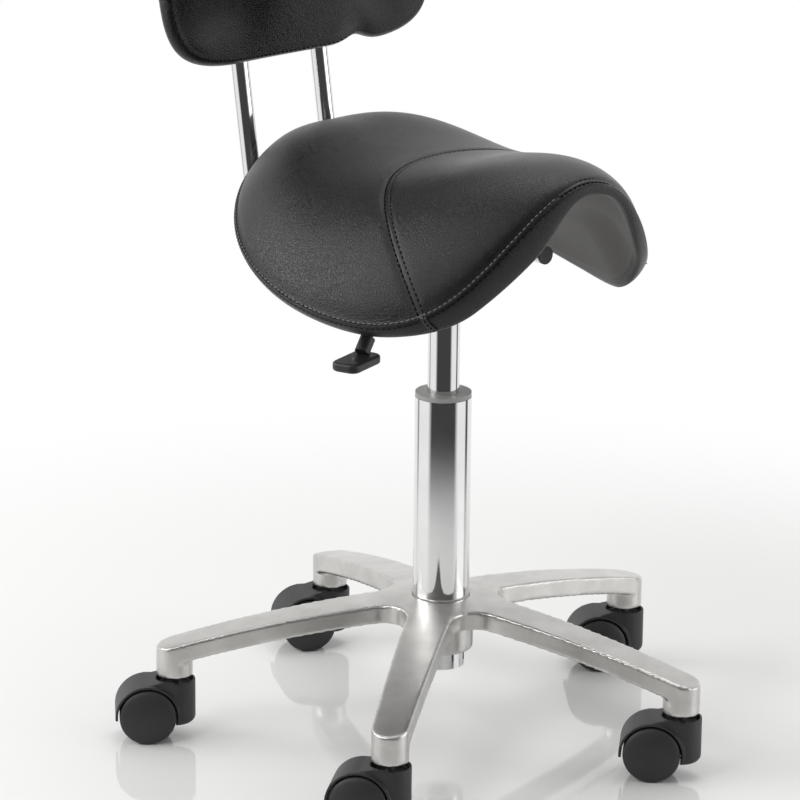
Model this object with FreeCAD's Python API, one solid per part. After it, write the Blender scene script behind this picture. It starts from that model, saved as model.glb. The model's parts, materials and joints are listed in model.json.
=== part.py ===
"""Saddle stool on five twin-wheel casters, with a gas lift and a backrest on two bent tubes.

Millimetres, +Z up. The origin is on the floor under the column axis.
The sitter faces -Y, and +X is the sitter's left hand.
"""
import FreeCAD, Part
import os
from math import acos, asin, atan2, cos, degrees, hypot, pi, radians, sin, tan

V = FreeCAD.Vector
UP = V(0, 0, 1)

# Clearances
running_gap = 0.05      # radial, shaft turning or sliding in its own bore
free_gap = 0.3          # between pieces that move past each other
end_room = 1.0          # at the end of a pin, bolt or screw in its blind hole
cutter_reach = 1.0      # how far a cutting form reaches past the face that it opens
wheel_gap = 0.4         # side play of a wheel beside the fork web

# Base
arm_count = 5
arm_radius = 236.0      # column axis to caster stem axis
arm_tip_width = 32.0
arm_root_width = 42.0
arm_depth = 17.0
arm_wall = 4.0
arm_bow = 0.38          # share of the fall that the arm has made half way out
web_radius = 25.0       # round corner between two arms
tip_top = 85.0
hub_top = 126.0
hub_radius = 29.0
hub_bottom = 76.0
boss_radius = 16.0
boss_bottom = 59.0
pocket_start = 12.0     # hollow under an arm, from the hub
pocket_end = 3.0        # and from the stem boss
arm_roof = 5.0          # metal over the hollow
hub_chamfer = 2.0

# Column
column_radius = 25.0
column_wall = 2.0
column_foot = 61.0
foot_radius = 21.5
taper_low = 84.0
taper_high = 98.0
foot_plate = 3.0
slot_count = 4
first_slot = 30.0       # degrees
slot_width = 3.0
slot_height = 7.0
slot_lift = 2.0         # over the plate in the foot
rod_room = 1.0          # round the piston rod in the plate
bush_foot = 60.0        # lower end of the bush over the column's taper
bush_flange = 4.0
flange_inset = 0.4

# Gas spring
cylinder_radius = 14.0
cylinder_wall = 1.5
socket_length = 36.0
socket_taper = 0.8      # radius lost over the socket
socket_drop = 8.0       # the socket reaches this far under the housing
socket_lip = 4.0        # and ends this far under the end of the cylinder
lift_down = 75.0        # travel of the seat down from here
lift_room = 11.0        # spare travel inside the gas spring
column_room = 17.0      # socket over the column with the seat right down
rod_radius = 5.0
rod_proud = 5.0         # end of the rod under the column
piston_length = 16.0
seal_length = 12.0
race_thickness = 2.5
race_radius = 14.0
ball_radius = 2.5
ball_count = 10
buffer_radius = 11.0
buffer_height = 5.0
clip_thickness = 1.6
clip_lift = 2.0
clip_bite = 1.0
clip_rim = 4.5
clip_mouth = 5.0
valve_radius = 4.0
valve_length = 14.0
valve_proud = 4.0       # how far the valve pin stands above the cylinder
press_gap = 0.5         # between the lever's press foot and the valve pin

# Casters
wheel_radius = 25.0
wheel_width = 15.5
wheel_dome = 5.5
wheel_edge = 1.5
web_half = 5.0
axle_radius = 4.0
trail = 24.0
barrel_radius = 18.3
barrel_bottom = 15.0
barrel_top = 55.0
cup_depth = 6.0
cup_wall = 1.9
hood_radius = 28.6
hood_half_width = 20.5
hood_gap = 1.3
crescent_drop = 3.0     # the hood ends this far under the axle
roof_rise = 1.5
roof_inset = 0.5
barrel_round = 6.0
web_step = 3.0
web_reach = 11.0
web_rise = 24.0         # top of the web over the axle
wheel_skin = 3.0        # outer wall of a wheel
rim_wall = 4.0
hub_wall = 4.0
groove_depth = 8.0      # hollow in the inner face of a wheel
axle_room = 0.5
stem_radius = 5.5
stem_grip = 20.0
stem_collar = 8.0
collar_height = 3.0
stem_pin = 4.0
pin_floor = 6.0         # plastic under the stem's pin
groove_lift = 12.0
groove_width = 2.0
groove_bite = 0.8
first_arm = 0.0
caster_turns = (140.0, 151.0, 141.0, 127.0, 131.0)   # trailing direction of each caster, degrees

# Saddle
seat_dip = 514.4        # top of the saddle at its lowest point
seat_half_width = 175.0
seat_half_length = 181.0
seat_centre = 6.4       # middle of the saddle behind the column axis
crest_rise = 26.0
flank_angle = 32.03     # fall from the top of the saddle to its widest edge, degrees
pad_thickness = 24.0
pad_bulge = 5.0
pad_draw = 9.0          # how far the under edge of the pad is drawn in
shell_thickness = 7.0
shell_inset = 10.0
shell_end_inset = 24.0
skin_thickness = 2.0
layer_gap = 0.9         # glue line between the layers of the saddle
layer_bulge = 0.2       # rounding of the shell's and the skin's edges
under_least = 0.35      # the under edge keeps at least this share of a section's turn
boss_inset = 2.0        # boss of the shell inside the plate's outline
boss_drop = 11.4        # mounting face of the shell under the shell itself
# Place along the saddle from rear -1 to front 1, then shares of half width, crest rise and flank drop
saddle_stations = (
    (0.97, 0.23, 0.81, 0.17),
    (0.89, 0.46, 1.00, 0.55),
    (0.755, 0.66, 0.98, 0.89),
    (0.57, 0.82, 0.60, 1.00),
    (0.345, 0.94, 0.10, 0.91),
    (0.095, 1.00, 0.00, 0.81),
    (-0.17, 0.99, 0.41, 0.83),
    (-0.43, 0.905, 0.83, 0.835),
    (-0.66, 0.75, 0.80, 0.69),
    (-0.84, 0.54, 0.41, 0.40),
    (-0.96, 0.28, 0.00, 0.12),
)

# The last section at the front and at the rear, drawn in by end_round on both faces
saddle_ends = ((0.995, 0.12, 0.72, 0.07), (-0.99, 0.15, -0.13, 0.04))
end_round = 7.0

# Mechanism under the saddle
plate_thickness = 4.0
plate_half_width = 58.0
plate_front = 59.0
plate_rear = 88.0
housing_half_width = 34.0
housing_half_length = 36.0
housing_depth = 54.0
housing_wall = 3.0
housing_corner = 5.0
housing_gap = 2.0       # beside the housing, inside the guides
plate_corner = 10.0
socket_wall = 5.0
ear_inward = 5.0        # lever ears from the pin towards the column
ear_outward = 9.0       # and away from it, into the wall
ear_half_height = 5.0
guide_half_width = 58.0
guide_length = 16.0
guide_bridge = 12.0     # bar that joins the two halves of the rear guide
guide_wall = 4.0        # under the tubes
guide_place_front = 30.0
guide_place_rear = 72.0
bolt_x = 50.0
bolt_y = 50.0
bolt_radius = 3.0
bolt_head = 5.0
bolt_head_height = 4.0
insert_radius = 4.5
insert_length = 8.0

# Height lever
lever_radius = 4.0
lever_pivot = 25.0      # lever pin from the column axis
lever_drop = 10.0       # lever axis under the saddle plate
lever_reach = 70.0      # from the column axis to the bend
lever_inner = 5.0       # inner end past the column axis
lever_room = 1.5        # round the lever in its slot
press_radius = 3.0
paddle_x = -140.0
paddle_front = 41.0
paddle_drop = 95.0      # below the saddle plate
paddle_length = 46.0
paddle_width = 26.0
paddle_thickness = 8.0
paddle_entry = 8.0      # end of the lever inside the paddle's middle, along and up
paddle_inner = 20.7     # inner end of the paddle from its middle
paddle_corner = 8.0
paddle_round = 2.5
sleeve_wall = 2.5
sleeve_length = 12.0
lever_pin_radius = 2.0
ear_thickness = 5.0

# Backrest
post_radius = 8.0
post_wall = 1.5
post_x = 47.0
post_drop = 25.0        # tube axis under the saddle plate
post_front = 74.0
post_clear = 5.0        # tube axis behind the saddle's rear end
post_lean = 9.4
post_bend = 45.0
post_reach = 113.0      # top of the tubes over the lower edge of the pad
plug_length = 14.0
plug_rim = 2.0
back_half_width = 160.0
back_height = 210.0
back_rise = 62.6        # lower edge of the pad over the seat's dip
back_thickness = 44.0
back_front_crown = 16.0
back_rear_crown = 2.0
back_curve = 600.0
board_thickness = 6.0
board_inset = 22.0
board_crown = 0.3
back_squareness = 3.2   # power of the pad's rounded outline
back_edge_share = 0.3   # greatest bulge of its edge, as a share of its half height there
# Places of the sections across the pad, as shares of its half width
back_shares = (-0.985, -0.93, -0.8, -0.5, 0, 0.5, 0.8, 0.93, 0.985)
bracket_height = 90.0
bracket_half_width = 20.0
bracket_reach = 6.0     # tube to board
bracket_lap = 3.0       # how far the bracket laps round the tube
bracket_spare = 15.0    # cut to the board's curve
bracket_end = 8.0       # under the top of the tube
screw_radius = 2.5
screw_head = 5.0
screw_head_height = 3.0
screw_inset = 20.0
knob_radius = 15.0
knob_thickness = 14.0
knob_stud = 4.0
knob_gap = 16.0
dent_count = 6
dent_radius = 5.0
dent_offset = 3.0

# Heights and depths that follow from the sizes above
flank_drop = seat_half_width * tan(radians(flank_angle))
post_rear = seat_centre + seat_half_length + post_clear
mount_face = seat_dip - pad_thickness - shell_thickness - skin_thickness - boss_drop
plate_low = mount_face - plate_thickness
post_height = plate_low - post_drop
lever_height = plate_low - lever_drop
housing_low = plate_low - housing_depth
cylinder_shoulder = housing_low - socket_drop
socket_top = cylinder_shoulder + socket_length
column_top = cylinder_shoulder - lift_down - column_room - bush_flange
bearing_low = column_foot + foot_plate
bearing_high = bearing_low + 2 * race_thickness + 2 * ball_radius
cylinder_low = bearing_high + buffer_height + lift_down + lift_room
rod_low = column_foot - rod_proud
piston_top = cylinder_shoulder - lift_down - lift_room
back_low = seat_dip + back_rise
post_top = back_low + post_reach

shapes = {}


def disc(radius, low, high, centre=V(0, 0, 0)):
    return Part.makeCylinder(radius, high - low, centre + UP * low, UP)


def ring(outer, inner, low, high, centre=V(0, 0, 0)):
    return disc(outer, low, high, centre).cut(disc(inner, low - 1, high + 1, centre))


def rod(radius, start, end):
    return Part.makeCylinder(radius, (end - start).Length, start, end - start)


def block(x0, x1, y0, y1, z0, z1):
    return Part.makeBox(x1 - x0, y1 - y0, z1 - z0, V(x0, y0, z0))


def outline(points):
    return Part.Face(Part.makePolygon(list(points) + [points[0]]))


def turned(points):
    """Solid of revolution about Z from (radius, height) points."""
    return outline([V(r, 0, z) for r, z in points]).revolve(V(0, 0, 0), UP, 360)


def arc(a, b, c):
    return Part.Arc(a, b, c).toShape()


def line(a, b):
    return Part.LineSegment(a, b).toShape()


def arm_angles():
    return [first_arm + i * 360.0 / arm_count for i in range(arm_count)]


def arm_tip(angle):
    return V(arm_radius * cos(radians(angle)), arm_radius * sin(radians(angle)), 0)


# Base


def base_plan():
    """Star of arms with round webs, seen from above, as a tall block."""
    tall = 2 * hub_top
    arms = []
    for angle in arm_angles():
        half_tip, half_root = arm_tip_width / 2, arm_root_width / 2
        corners = [V(0, -half_root, 0), V(arm_radius, -half_tip, 0),
                   V(arm_radius, half_tip, 0), V(0, half_root, 0)]
        arm = outline(corners).extrude(UP * tall)
        arm = arm.fuse(disc(arm_tip_width / 2, 0, tall, V(arm_radius, 0, 0)))
        arm.rotate(V(0, 0, 0), UP, angle)
        arms.append(arm)
    star = arms[0].fuse(arms[1:]).removeSplitter()
    corners = [e for e in star.Edges if len(e.Vertexes) == 2 and inner_corner(e, tall)]
    return star.makeFillet(web_radius, corners)


def inner_corner(edge, tall):
    a, b = [v.Point for v in edge.Vertexes]
    upright = abs(abs(a.z - b.z) - tall) < 0.01
    return upright and hypot(a.x, a.y) < arm_radius / 3


def arm_line(drop):
    """Radius and height of the arms' top line at the hub, half way and at the tip, lowered by drop."""
    reach = arm_radius + boss_radius + cutter_reach
    middle = (hub_radius + reach) / 2
    fall = hub_top - tip_top
    return [(hub_radius, hub_top - drop), (middle, hub_top - fall * arm_bow - drop), (reach, tip_top - drop)]


def arm_profile(inset, top_inset):
    """Side form of every arm, turned about the column axis."""
    top = [V(r, 0, z) for r, z in arm_line(top_inset)]
    top.insert(0, V(0, 0, top[0].z))
    low = [V(r, 0, z) for r, z in reversed(arm_line(arm_depth + inset))]
    low.append(V(0, 0, low[-1].z))
    edges = [line(top[0], top[1]), arc(top[1], top[2], top[3]), line(top[3], low[0]),
             arc(low[0], low[1], low[2]), line(low[2], low[3]), line(low[3], top[0])]
    return Part.Face(Part.Wire(edges)).revolve(V(0, 0, 0), UP, 360)


def underside_pockets():
    """Hollow under each arm that leaves a wall all round."""
    pockets = []
    start = hub_radius + pocket_start
    end = arm_radius - boss_radius - pocket_end
    share = (arm_tip_width - arm_root_width) / arm_radius
    for angle in arm_angles():
        low_half = (arm_root_width + share * start) / 2 - arm_wall
        high_half = (arm_root_width + share * end) / 2 - arm_wall
        corners = [V(start, -low_half, 0), V(end, -high_half, 0), V(end, high_half, 0), V(start, low_half, 0)]
        pocket = outline(corners).extrude(UP * hub_top)
        pocket.rotate(V(0, 0, 0), UP, angle)
        pockets.append(pocket)
    return pockets[0].fuse(pockets[1:]).common(arm_profile(cutter_reach, arm_roof))


def column_outside(extra):
    """Outer form of the column's lower end, which the hub bore copies."""
    return turned([(0, column_foot - extra), (foot_radius, column_foot - extra), (foot_radius, taper_low),
                   (column_radius, taper_high), (column_radius, column_top + extra), (0, column_top + extra)])


def star_base():
    body = base_plan().common(arm_profile(0, 0))
    body = body.cut(underside_pockets())
    core_top = hub_top - arm_depth / 2
    hub = turned([(0, hub_bottom), (hub_radius - hub_chamfer, hub_bottom),
                  (hub_radius, hub_bottom + hub_chamfer), (hub_radius, core_top), (0, core_top)])
    bosses = []
    sockets = []
    for angle in arm_angles():
        bosses.append(disc(boss_radius, boss_bottom, tip_top - arm_depth / 2, arm_tip(angle)))
        sockets.append(disc(stem_radius, 0, boss_bottom + stem_grip + end_room, arm_tip(angle)))
    body = body.fuse([hub] + bosses)
    body = body.cut(column_outside(cutter_reach))
    return body.cut(sockets[0].fuse(sockets[1:])).removeSplitter()


# Column and gas spring


def column_tube():
    inner = column_radius - column_wall
    inner_foot = foot_radius - column_wall
    lift = column_wall * tan(atan2(column_radius - foot_radius, taper_high - taper_low) / 2)
    open_top = column_top + cutter_reach
    hollow = turned([(0, bearing_low), (inner_foot, bearing_low), (inner_foot, taper_low + lift),
                     (inner, taper_high + lift), (inner, open_top), (0, open_top)])
    tube = column_outside(0).cut(hollow).cut(disc(rod_radius + rod_room, 0, bearing_low + cutter_reach))
    slot_low = bearing_low + slot_lift
    for i in range(slot_count):
        slot = block(inner_foot - cutter_reach, foot_radius + cutter_reach, -slot_width / 2, slot_width / 2,
                     slot_low, slot_low + slot_height)
        slot.rotate(V(0, 0, 0), UP, first_slot + i * 360.0 / slot_count)
        tube = tube.cut(slot)
    return tube


def guide_bush():
    fit = column_radius - column_wall
    bore = cylinder_radius + running_gap
    sleeve = ring(fit, bore, taper_high + bush_foot, column_top)
    flange = ring(column_radius - flange_inset, bore, column_top, column_top + bush_flange)
    return sleeve.fuse(flange).removeSplitter()


def bearing_race(low):
    return ring(race_radius, rod_radius + running_gap, low, low + race_thickness)


def bearing_balls():
    track = (race_radius + rod_radius) / 2
    middle = bearing_low + race_thickness + ball_radius
    balls = []
    for i in range(ball_count):
        turn = 2 * pi * i / ball_count
        balls.append(Part.makeSphere(ball_radius, V(track * cos(turn), track * sin(turn), middle)))
    return Part.makeCompound(balls)


def piston_rod():
    groove_low = rod_low + clip_lift
    groove = ring(rod_radius + cutter_reach, rod_radius - clip_bite, groove_low, groove_low + clip_thickness)
    return disc(rod_radius, rod_low, piston_top).cut(groove)


def retaining_clip():
    low = rod_low + clip_lift
    high = low + clip_thickness
    clip = ring(rod_radius + clip_rim, rod_radius - clip_bite, low, high)
    half = clip_mouth / 2
    return clip.cut(block(0, 2 * buffer_radius, -half, half, low - cutter_reach, high + cutter_reach))


def gas_cylinder():
    body = disc(cylinder_radius, cylinder_low, cylinder_shoulder)
    nose = turned([(0, cylinder_shoulder), (cylinder_radius, cylinder_shoulder),
                   (cylinder_radius - socket_taper, socket_top), (0, socket_top)])
    hollow = disc(cylinder_radius - cylinder_wall, cylinder_low - cutter_reach, cylinder_shoulder)
    valve_way = disc(valve_radius + running_gap, cylinder_shoulder - cutter_reach, socket_top + cutter_reach)
    return body.fuse(nose).cut(hollow.fuse(valve_way)).removeSplitter()


def cylinder_seal():
    outer = cylinder_radius - cylinder_wall
    return ring(outer, rod_radius + running_gap, cylinder_low, cylinder_low + seal_length)


def gas_lift():
    piston_radius = cylinder_radius - cylinder_wall - running_gap
    shapes["column_tube"] = column_tube()
    shapes["guide_bush"] = guide_bush()
    shapes["bearing_lower_race"] = bearing_race(bearing_low)
    shapes["bearing_balls"] = bearing_balls()
    shapes["bearing_upper_race"] = bearing_race(bearing_high - race_thickness)
    shapes["rubber_buffer"] = ring(buffer_radius, rod_radius, bearing_high, bearing_high + buffer_height)
    shapes["piston_rod"] = piston_rod()
    shapes["piston"] = ring(piston_radius, rod_radius, piston_top - piston_length, piston_top)
    shapes["retaining_clip"] = retaining_clip()
    shapes["gas_cylinder"] = gas_cylinder()
    shapes["cylinder_seal"] = cylinder_seal()
    valve_top = socket_top + valve_proud
    shapes["valve_pin"] = disc(valve_radius, valve_top - valve_length, valve_top)


# Casters


def across(radius, low, high, x, z):
    """Round bar along Y."""
    return Part.makeCylinder(radius, high - low, V(x, low, z), V(0, 1, 0))


def side_plate(points, half_width):
    face = outline([V(x, -half_width, z) for x, z in points])
    return face.extrude(V(0, 2 * half_width, 0))


def caster_hood():
    axle_height = wheel_radius
    tall = 3 * wheel_radius
    barrel = disc(barrel_radius, barrel_bottom, barrel_top)
    circles = [e for e in barrel.Edges if e.Closed]
    lowest = min(circles, key=lambda e: e.CenterOfMass.z)
    barrel = barrel.makeFillet(barrel_round, [lowest])
    crescent = across(hood_radius, -hood_half_width, hood_half_width, trail, axle_height)
    crescent = crescent.cut(block(-tall, tall, -tall, tall, -tall, axle_height - crescent_drop))
    roof_top = barrel_top + roof_rise
    roof = side_plate([(0, axle_height), (0, roof_top), (trail / 2, roof_top),
                       (trail, axle_height + hood_radius), (trail, axle_height)], barrel_radius - roof_inset)
    web_end = trail + web_reach
    web = side_plate([(0, barrel_bottom + web_step), (trail, barrel_bottom), (web_end, axle_height),
                      (web_end, axle_height + web_reach / 2), (trail, axle_height + web_rise),
                      (0, axle_height + web_rise)], web_half)
    hood = barrel.fuse([crescent, roof])
    well = wheel_radius + hood_gap
    hood = hood.cut(across(well, -tall, tall, trail, axle_height)).fuse(web)
    hood = hood.cut(disc(barrel_radius - cup_wall, barrel_top - cup_depth, tall))
    hood = hood.cut(disc(stem_pin + running_gap, barrel_bottom + pin_floor, barrel_top))
    hood = hood.cut(across(axle_radius, -tall, tall, trail, axle_height))
    return hood.removeSplitter()


def caster_wheel():
    """Half of the twin wheel, on the +Y side, turned about the axle."""
    start = web_half + wheel_gap
    flat = start + wheel_width
    tip = flat + wheel_dome
    bore = axle_radius + running_gap
    deep = flat - wheel_skin
    rim = wheel_radius
    inner = rim - rim_wall
    hub = axle_radius + hub_wall
    floor = start + groove_depth
    points = [V(bore, start, 0), V(hub, start, 0), V(hub, floor, 0), V(inner, floor, 0), V(inner, start, 0),
              V(rim - wheel_edge, start, 0), V(rim, start + wheel_edge, 0), V(rim, flat, 0)]
    edges = [line(a, b) for a, b in zip(points, points[1:])]
    dome = (rim ** 2 + wheel_dome ** 2) / (2 * wheel_dome)
    half_way = asin(rim / dome) / 2
    edges.append(arc(points[-1], V(dome * sin(half_way), tip - dome * (1 - cos(half_way)), 0), V(0, tip, 0)))
    edges.append(line(V(0, tip, 0), V(0, deep, 0)))
    edges.append(line(V(0, deep, 0), V(bore, deep, 0)))
    edges.append(line(V(bore, deep, 0), points[0]))
    wheel = Part.Face(Part.Wire(edges)).revolve(V(0, 0, 0), V(0, 1, 0), 360)
    wheel.translate(V(trail, 0, wheel_radius))
    return wheel


def caster_stem():
    collar_low = boss_bottom - collar_height
    groove_low = boss_bottom + groove_lift
    pin = disc(stem_pin, barrel_bottom + pin_floor + end_room, collar_low)
    collar = disc(stem_collar, collar_low, boss_bottom)
    grip = disc(stem_radius, boss_bottom, boss_bottom + stem_grip)
    groove_high = groove_low + groove_width
    groove = ring(stem_radius + cutter_reach, stem_radius - groove_bite, groove_low, groove_high)
    return pin.fuse([collar, grip]).cut(groove).removeSplitter()


def casters():
    axle_end = web_half + wheel_gap + wheel_width - wheel_skin - axle_room
    near = caster_wheel()
    far = near.mirror(V(0, 0, 0), V(0, 1, 0))
    pieces = {"stem": caster_stem(), "hood": caster_hood(), "wheel_left": near, "wheel_right": far,
              "axle": across(axle_radius, -axle_end, axle_end, trail, wheel_radius)}
    for number, (angle, turn) in enumerate(zip(arm_angles(), caster_turns), 1):
        for name, piece in pieces.items():
            placed = piece.copy()
            placed.rotate(V(0, 0, 0), UP, turn)
            placed.translate(arm_tip(angle))
            shapes["caster_%d_%s" % (number, name)] = placed


# Saddle


def saddle_section(station, outer, inner, edge_inset, under_inset, bulge):
    """Closed arch of four arcs between two depths under the saddle's top."""
    place, width, rise, drop = station
    y = seat_centre - place * seat_half_length
    half = width * seat_half_width
    crown = seat_dip + rise * crest_rise
    fall = drop * flank_drop
    radius = (half ** 2 + fall ** 2) / (2 * fall)
    centre = crown - radius
    spread = acos(1 - fall / radius)
    outer_radius, inner_radius = radius - outer, radius - inner
    top_turn = spread - edge_inset / radius
    low_turn = max(spread - (edge_inset + under_inset) / radius, top_turn * under_least)
    middle_turn = (top_turn + low_turn) / 2 + bulge / radius

    def point(r, turn):
        return V(r * sin(turn), y, centre + r * cos(turn))

    middle_radius = (outer_radius + inner_radius) / 2
    top = [point(outer_radius, t) for t in (-top_turn, 0, top_turn)]
    under = [point(inner_radius, t) for t in (low_turn, 0, -low_turn)]
    near, far = point(middle_radius, middle_turn), point(middle_radius, -middle_turn)
    return Part.Wire([arc(*top), arc(top[2], near, under[0]), arc(*under), arc(under[2], far, top[0])])


def saddle_layer(outer, inner):
    """Thin layer under the pad, narrower and shorter than it."""
    sections = [saddle_section(s, outer, inner, shell_inset, 0, layer_bulge) for s in saddle_stations]
    reach = seat_half_length - shell_end_inset
    wide = seat_half_width
    middle = block(-wide, wide, seat_centre - reach, seat_centre + reach, 0, 2 * seat_dip)
    return Part.makeLoft(sections, True, False).common(middle)


def saddle():
    shell_top = pad_thickness + layer_gap
    shell_low = shell_top + shell_thickness
    skin_top = shell_low + layer_gap
    skin_low = skin_top + skin_thickness
    end_low = pad_thickness - end_round
    ends = [saddle_section(s, end_round, end_low, 0, end_round / 2, end_round / 2) for s in saddle_ends]
    middle = [saddle_section(s, 0, pad_thickness, 0, pad_draw, pad_bulge) for s in saddle_stations]
    shell = saddle_layer(shell_top, shell_low).fuse(shell_boss(shell_low - cutter_reach))
    window = block(-plate_half_width, plate_half_width, -plate_front, plate_rear, 0, seat_dip)
    inserts = []
    bolts = []
    insert_top = mount_face + insert_length
    for place in bolt_places():
        hole = disc(insert_radius, mount_face, insert_top, place)
        shell = shell.cut(hole)
        inserts.append(hole.cut(disc(bolt_radius, 0, seat_dip, place)))
        head = hexagon(bolt_head, plate_low - bolt_head_height, plate_low, place)
        shank = disc(bolt_radius, plate_low, insert_top - end_room, place)
        bolts.append(head.fuse(shank).removeSplitter())
    shapes["seat_pad"] = Part.makeLoft(ends[:1] + middle + ends[1:], True, False)
    shapes["seat_shell"] = shell.removeSplitter()
    shapes["seat_underside"] = saddle_layer(skin_top, skin_low).cut(window)
    shapes["shell_inserts"] = Part.makeCompound(inserts)
    shapes["seat_bolts"] = Part.makeCompound(bolts)


def shell_boss(depth):
    """Flat boss that reaches from the shell down to the seat plate."""
    wide = plate_half_width - boss_inset
    boss = block(-wide, wide, boss_inset - plate_front, plate_rear - boss_inset, mount_face, seat_dip)
    return boss.cut(saddle_layer(-pad_thickness, depth))


def bolt_places():
    return [V(x, y, 0) for x in (-bolt_x, bolt_x) for y in (-bolt_y, bolt_y)]


def hexagon(radius, low, high, centre):
    points = [centre + V(radius * cos(radians(a)), radius * sin(radians(a)), low) for a in range(0, 360, 60)]
    return outline(points).extrude(UP * (high - low))


# Mechanism


def seat_plate():
    plate = block(-plate_half_width, plate_half_width, -plate_front, plate_rear, plate_low, mount_face)
    plate = plate.makeFillet(plate_corner, upright_edges(plate))
    for place in bolt_places():
        plate = plate.cut(disc(bolt_radius, 0, mount_face + cutter_reach, place))
    return plate


def upright_edges(shape):
    return [e for e in shape.Edges if abs(e.tangentAt(e.FirstParameter).z) > 0.99]


def lever_direction():
    reach = hypot(paddle_x, paddle_front)
    return V(paddle_x / reach, -paddle_front / reach, 0)


def lever_side():
    direction = lever_direction()
    return V(-direction.y, direction.x, 0)


def turned_to_lever(shape):
    """The shape, made along +X, turned to lie along the lever."""
    direction = lever_direction()
    shape.rotate(V(0, 0, 0), UP, degrees(atan2(direction.y, direction.x)))
    return shape


def pivot_bar(radius, half_length):
    pivot = lever_direction() * lever_pivot + UP * lever_height
    return rod(radius, pivot - lever_side() * half_length, pivot + lever_side() * half_length)


def mechanism_housing():
    wide, long = housing_half_width, housing_half_length
    box = block(-wide, wide, -long, long, housing_low, plate_low)
    box = box.makeFillet(housing_corner, upright_edges(box))
    inner = block(housing_wall - wide, wide - housing_wall, housing_wall - long, long - housing_wall,
                  housing_low + housing_wall, plate_low + cutter_reach)
    socket = disc(cylinder_radius + socket_wall, cylinder_shoulder, socket_top - socket_lip)
    taper = turned([(0, cylinder_shoulder), (cylinder_radius, cylinder_shoulder),
                    (cylinder_radius - socket_taper, socket_top), (0, socket_top)])
    housing = box.cut(inner).fuse(socket).cut(taper)
    half_slot = lever_radius + lever_room
    slot_low, slot_high = lever_height - half_slot, plate_low + cutter_reach
    slot = block(lever_pivot, 2 * wide, -half_slot, half_slot, slot_low, slot_high)
    housing = housing.cut(turned_to_lever(slot))
    ears = []
    for sign in (-1, 1):
        near, far = sorted((sign * (lever_radius + free_gap), sign * (lever_radius + ear_thickness)))
        ear = block(lever_pivot - ear_inward, lever_pivot + ear_outward, near, far,
                    lever_height - ear_half_height, lever_height + ear_half_height)
        ears.append(turned_to_lever(ear))
    return housing.fuse(ears).cut(pivot_bar(lever_pin_radius, lever_radius + ear_thickness + cutter_reach))


def lever_pivot_pin():
    return pivot_bar(lever_pin_radius, lever_radius + ear_thickness)


def lever_line():
    """Inner end, bend and outer end of the lever's axis."""
    direction = lever_direction()
    reach = hypot(paddle_x, paddle_front)
    start = UP * lever_height - direction * lever_inner
    bend = direction * lever_reach + UP * lever_height
    end = direction * (reach - paddle_entry) + UP * (mount_face - paddle_drop + paddle_entry)
    return start, bend, end


def height_lever():
    start, bend, end = lever_line()
    knee = Part.makeSphere(lever_radius, bend)
    bar = rod(lever_radius, start, bend).fuse([rod(lever_radius, bend, end), knee])
    press = disc(press_radius, socket_top + valve_proud + press_gap, lever_height)
    hole = pivot_bar(lever_pin_radius + running_gap, lever_radius + cutter_reach)
    return bar.fuse(press).cut(hole).removeSplitter()


def lever_paddle():
    bend, end = lever_line()[1:]
    toward = (bend - end).normalize()
    reach = hypot(paddle_x, paddle_front)
    low = mount_face - paddle_drop - paddle_thickness / 2
    start = reach - paddle_inner
    half = paddle_width / 2
    slab = block(start, start + paddle_length, -half, half, low, low + paddle_thickness)
    slab = slab.makeFillet(paddle_corner, upright_edges(slab))
    rims = [e for e in slab.Edges if abs(e.BoundBox.ZLength) < 0.01]
    slab = turned_to_lever(slab.makeFillet(paddle_round, rims))
    sleeve = rod(lever_radius + sleeve_wall, end - toward * sleeve_wall, end + toward * sleeve_length)
    hole = rod(lever_radius, end, end + toward * paddle_length)
    return slab.fuse(sleeve).cut(hole).removeSplitter()


def tube_guide(place, front):
    """Cast block under the saddle plate that both backrest tubes slide through."""
    low = post_height - post_radius - guide_wall
    half = guide_length / 2
    guide = block(-guide_half_width, guide_half_width, place - half, place + half, low, plate_low)
    relief_top = plate_low + cutter_reach if front else plate_low - guide_bridge
    relief_half = housing_half_width + housing_gap
    rear, fore = place + guide_length, place - guide_length
    guide = guide.cut(block(-relief_half, relief_half, fore, rear, 0, relief_top))
    for x in (-post_x, post_x):
        guide = guide.cut(across(post_radius + running_gap, fore, rear, x, post_height))
    if not front:
        outer = V(-guide_half_width - cutter_reach, place, post_height)
        guide = guide.cut(rod(knob_stud, outer, V(-post_x, place, post_height)))
    return guide


def depth_knob():
    place = guide_place_rear
    tip = -post_x - post_radius - free_gap
    shoulder = -guide_half_width - knob_gap
    outer = shoulder - knob_thickness
    stud = rod(knob_stud - running_gap, V(shoulder, place, post_height), V(tip, place, post_height))
    grip = rod(knob_radius, V(outer, place, post_height), V(shoulder, place, post_height))
    out = knob_radius + dent_offset
    for i in range(dent_count):
        turn = 2 * pi * (i + 0.5) / dent_count
        y, z = place + out * cos(turn), post_height + out * sin(turn)
        grip = grip.cut(rod(dent_radius, V(outer - cutter_reach, y, z), V(shoulder + cutter_reach, y, z)))
    return stud.fuse(grip).removeSplitter()


def mechanism():
    shapes["seat_plate"] = seat_plate()
    shapes["mechanism_housing"] = mechanism_housing()
    shapes["lever_pivot_pin"] = lever_pivot_pin()
    shapes["height_lever"] = height_lever()
    shapes["lever_paddle"] = lever_paddle()
    shapes["front_tube_guide"] = tube_guide(-guide_place_front, True)
    shapes["rear_tube_guide"] = tube_guide(guide_place_rear, False)
    shapes["depth_knob"] = depth_knob()


# Backrest


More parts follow.
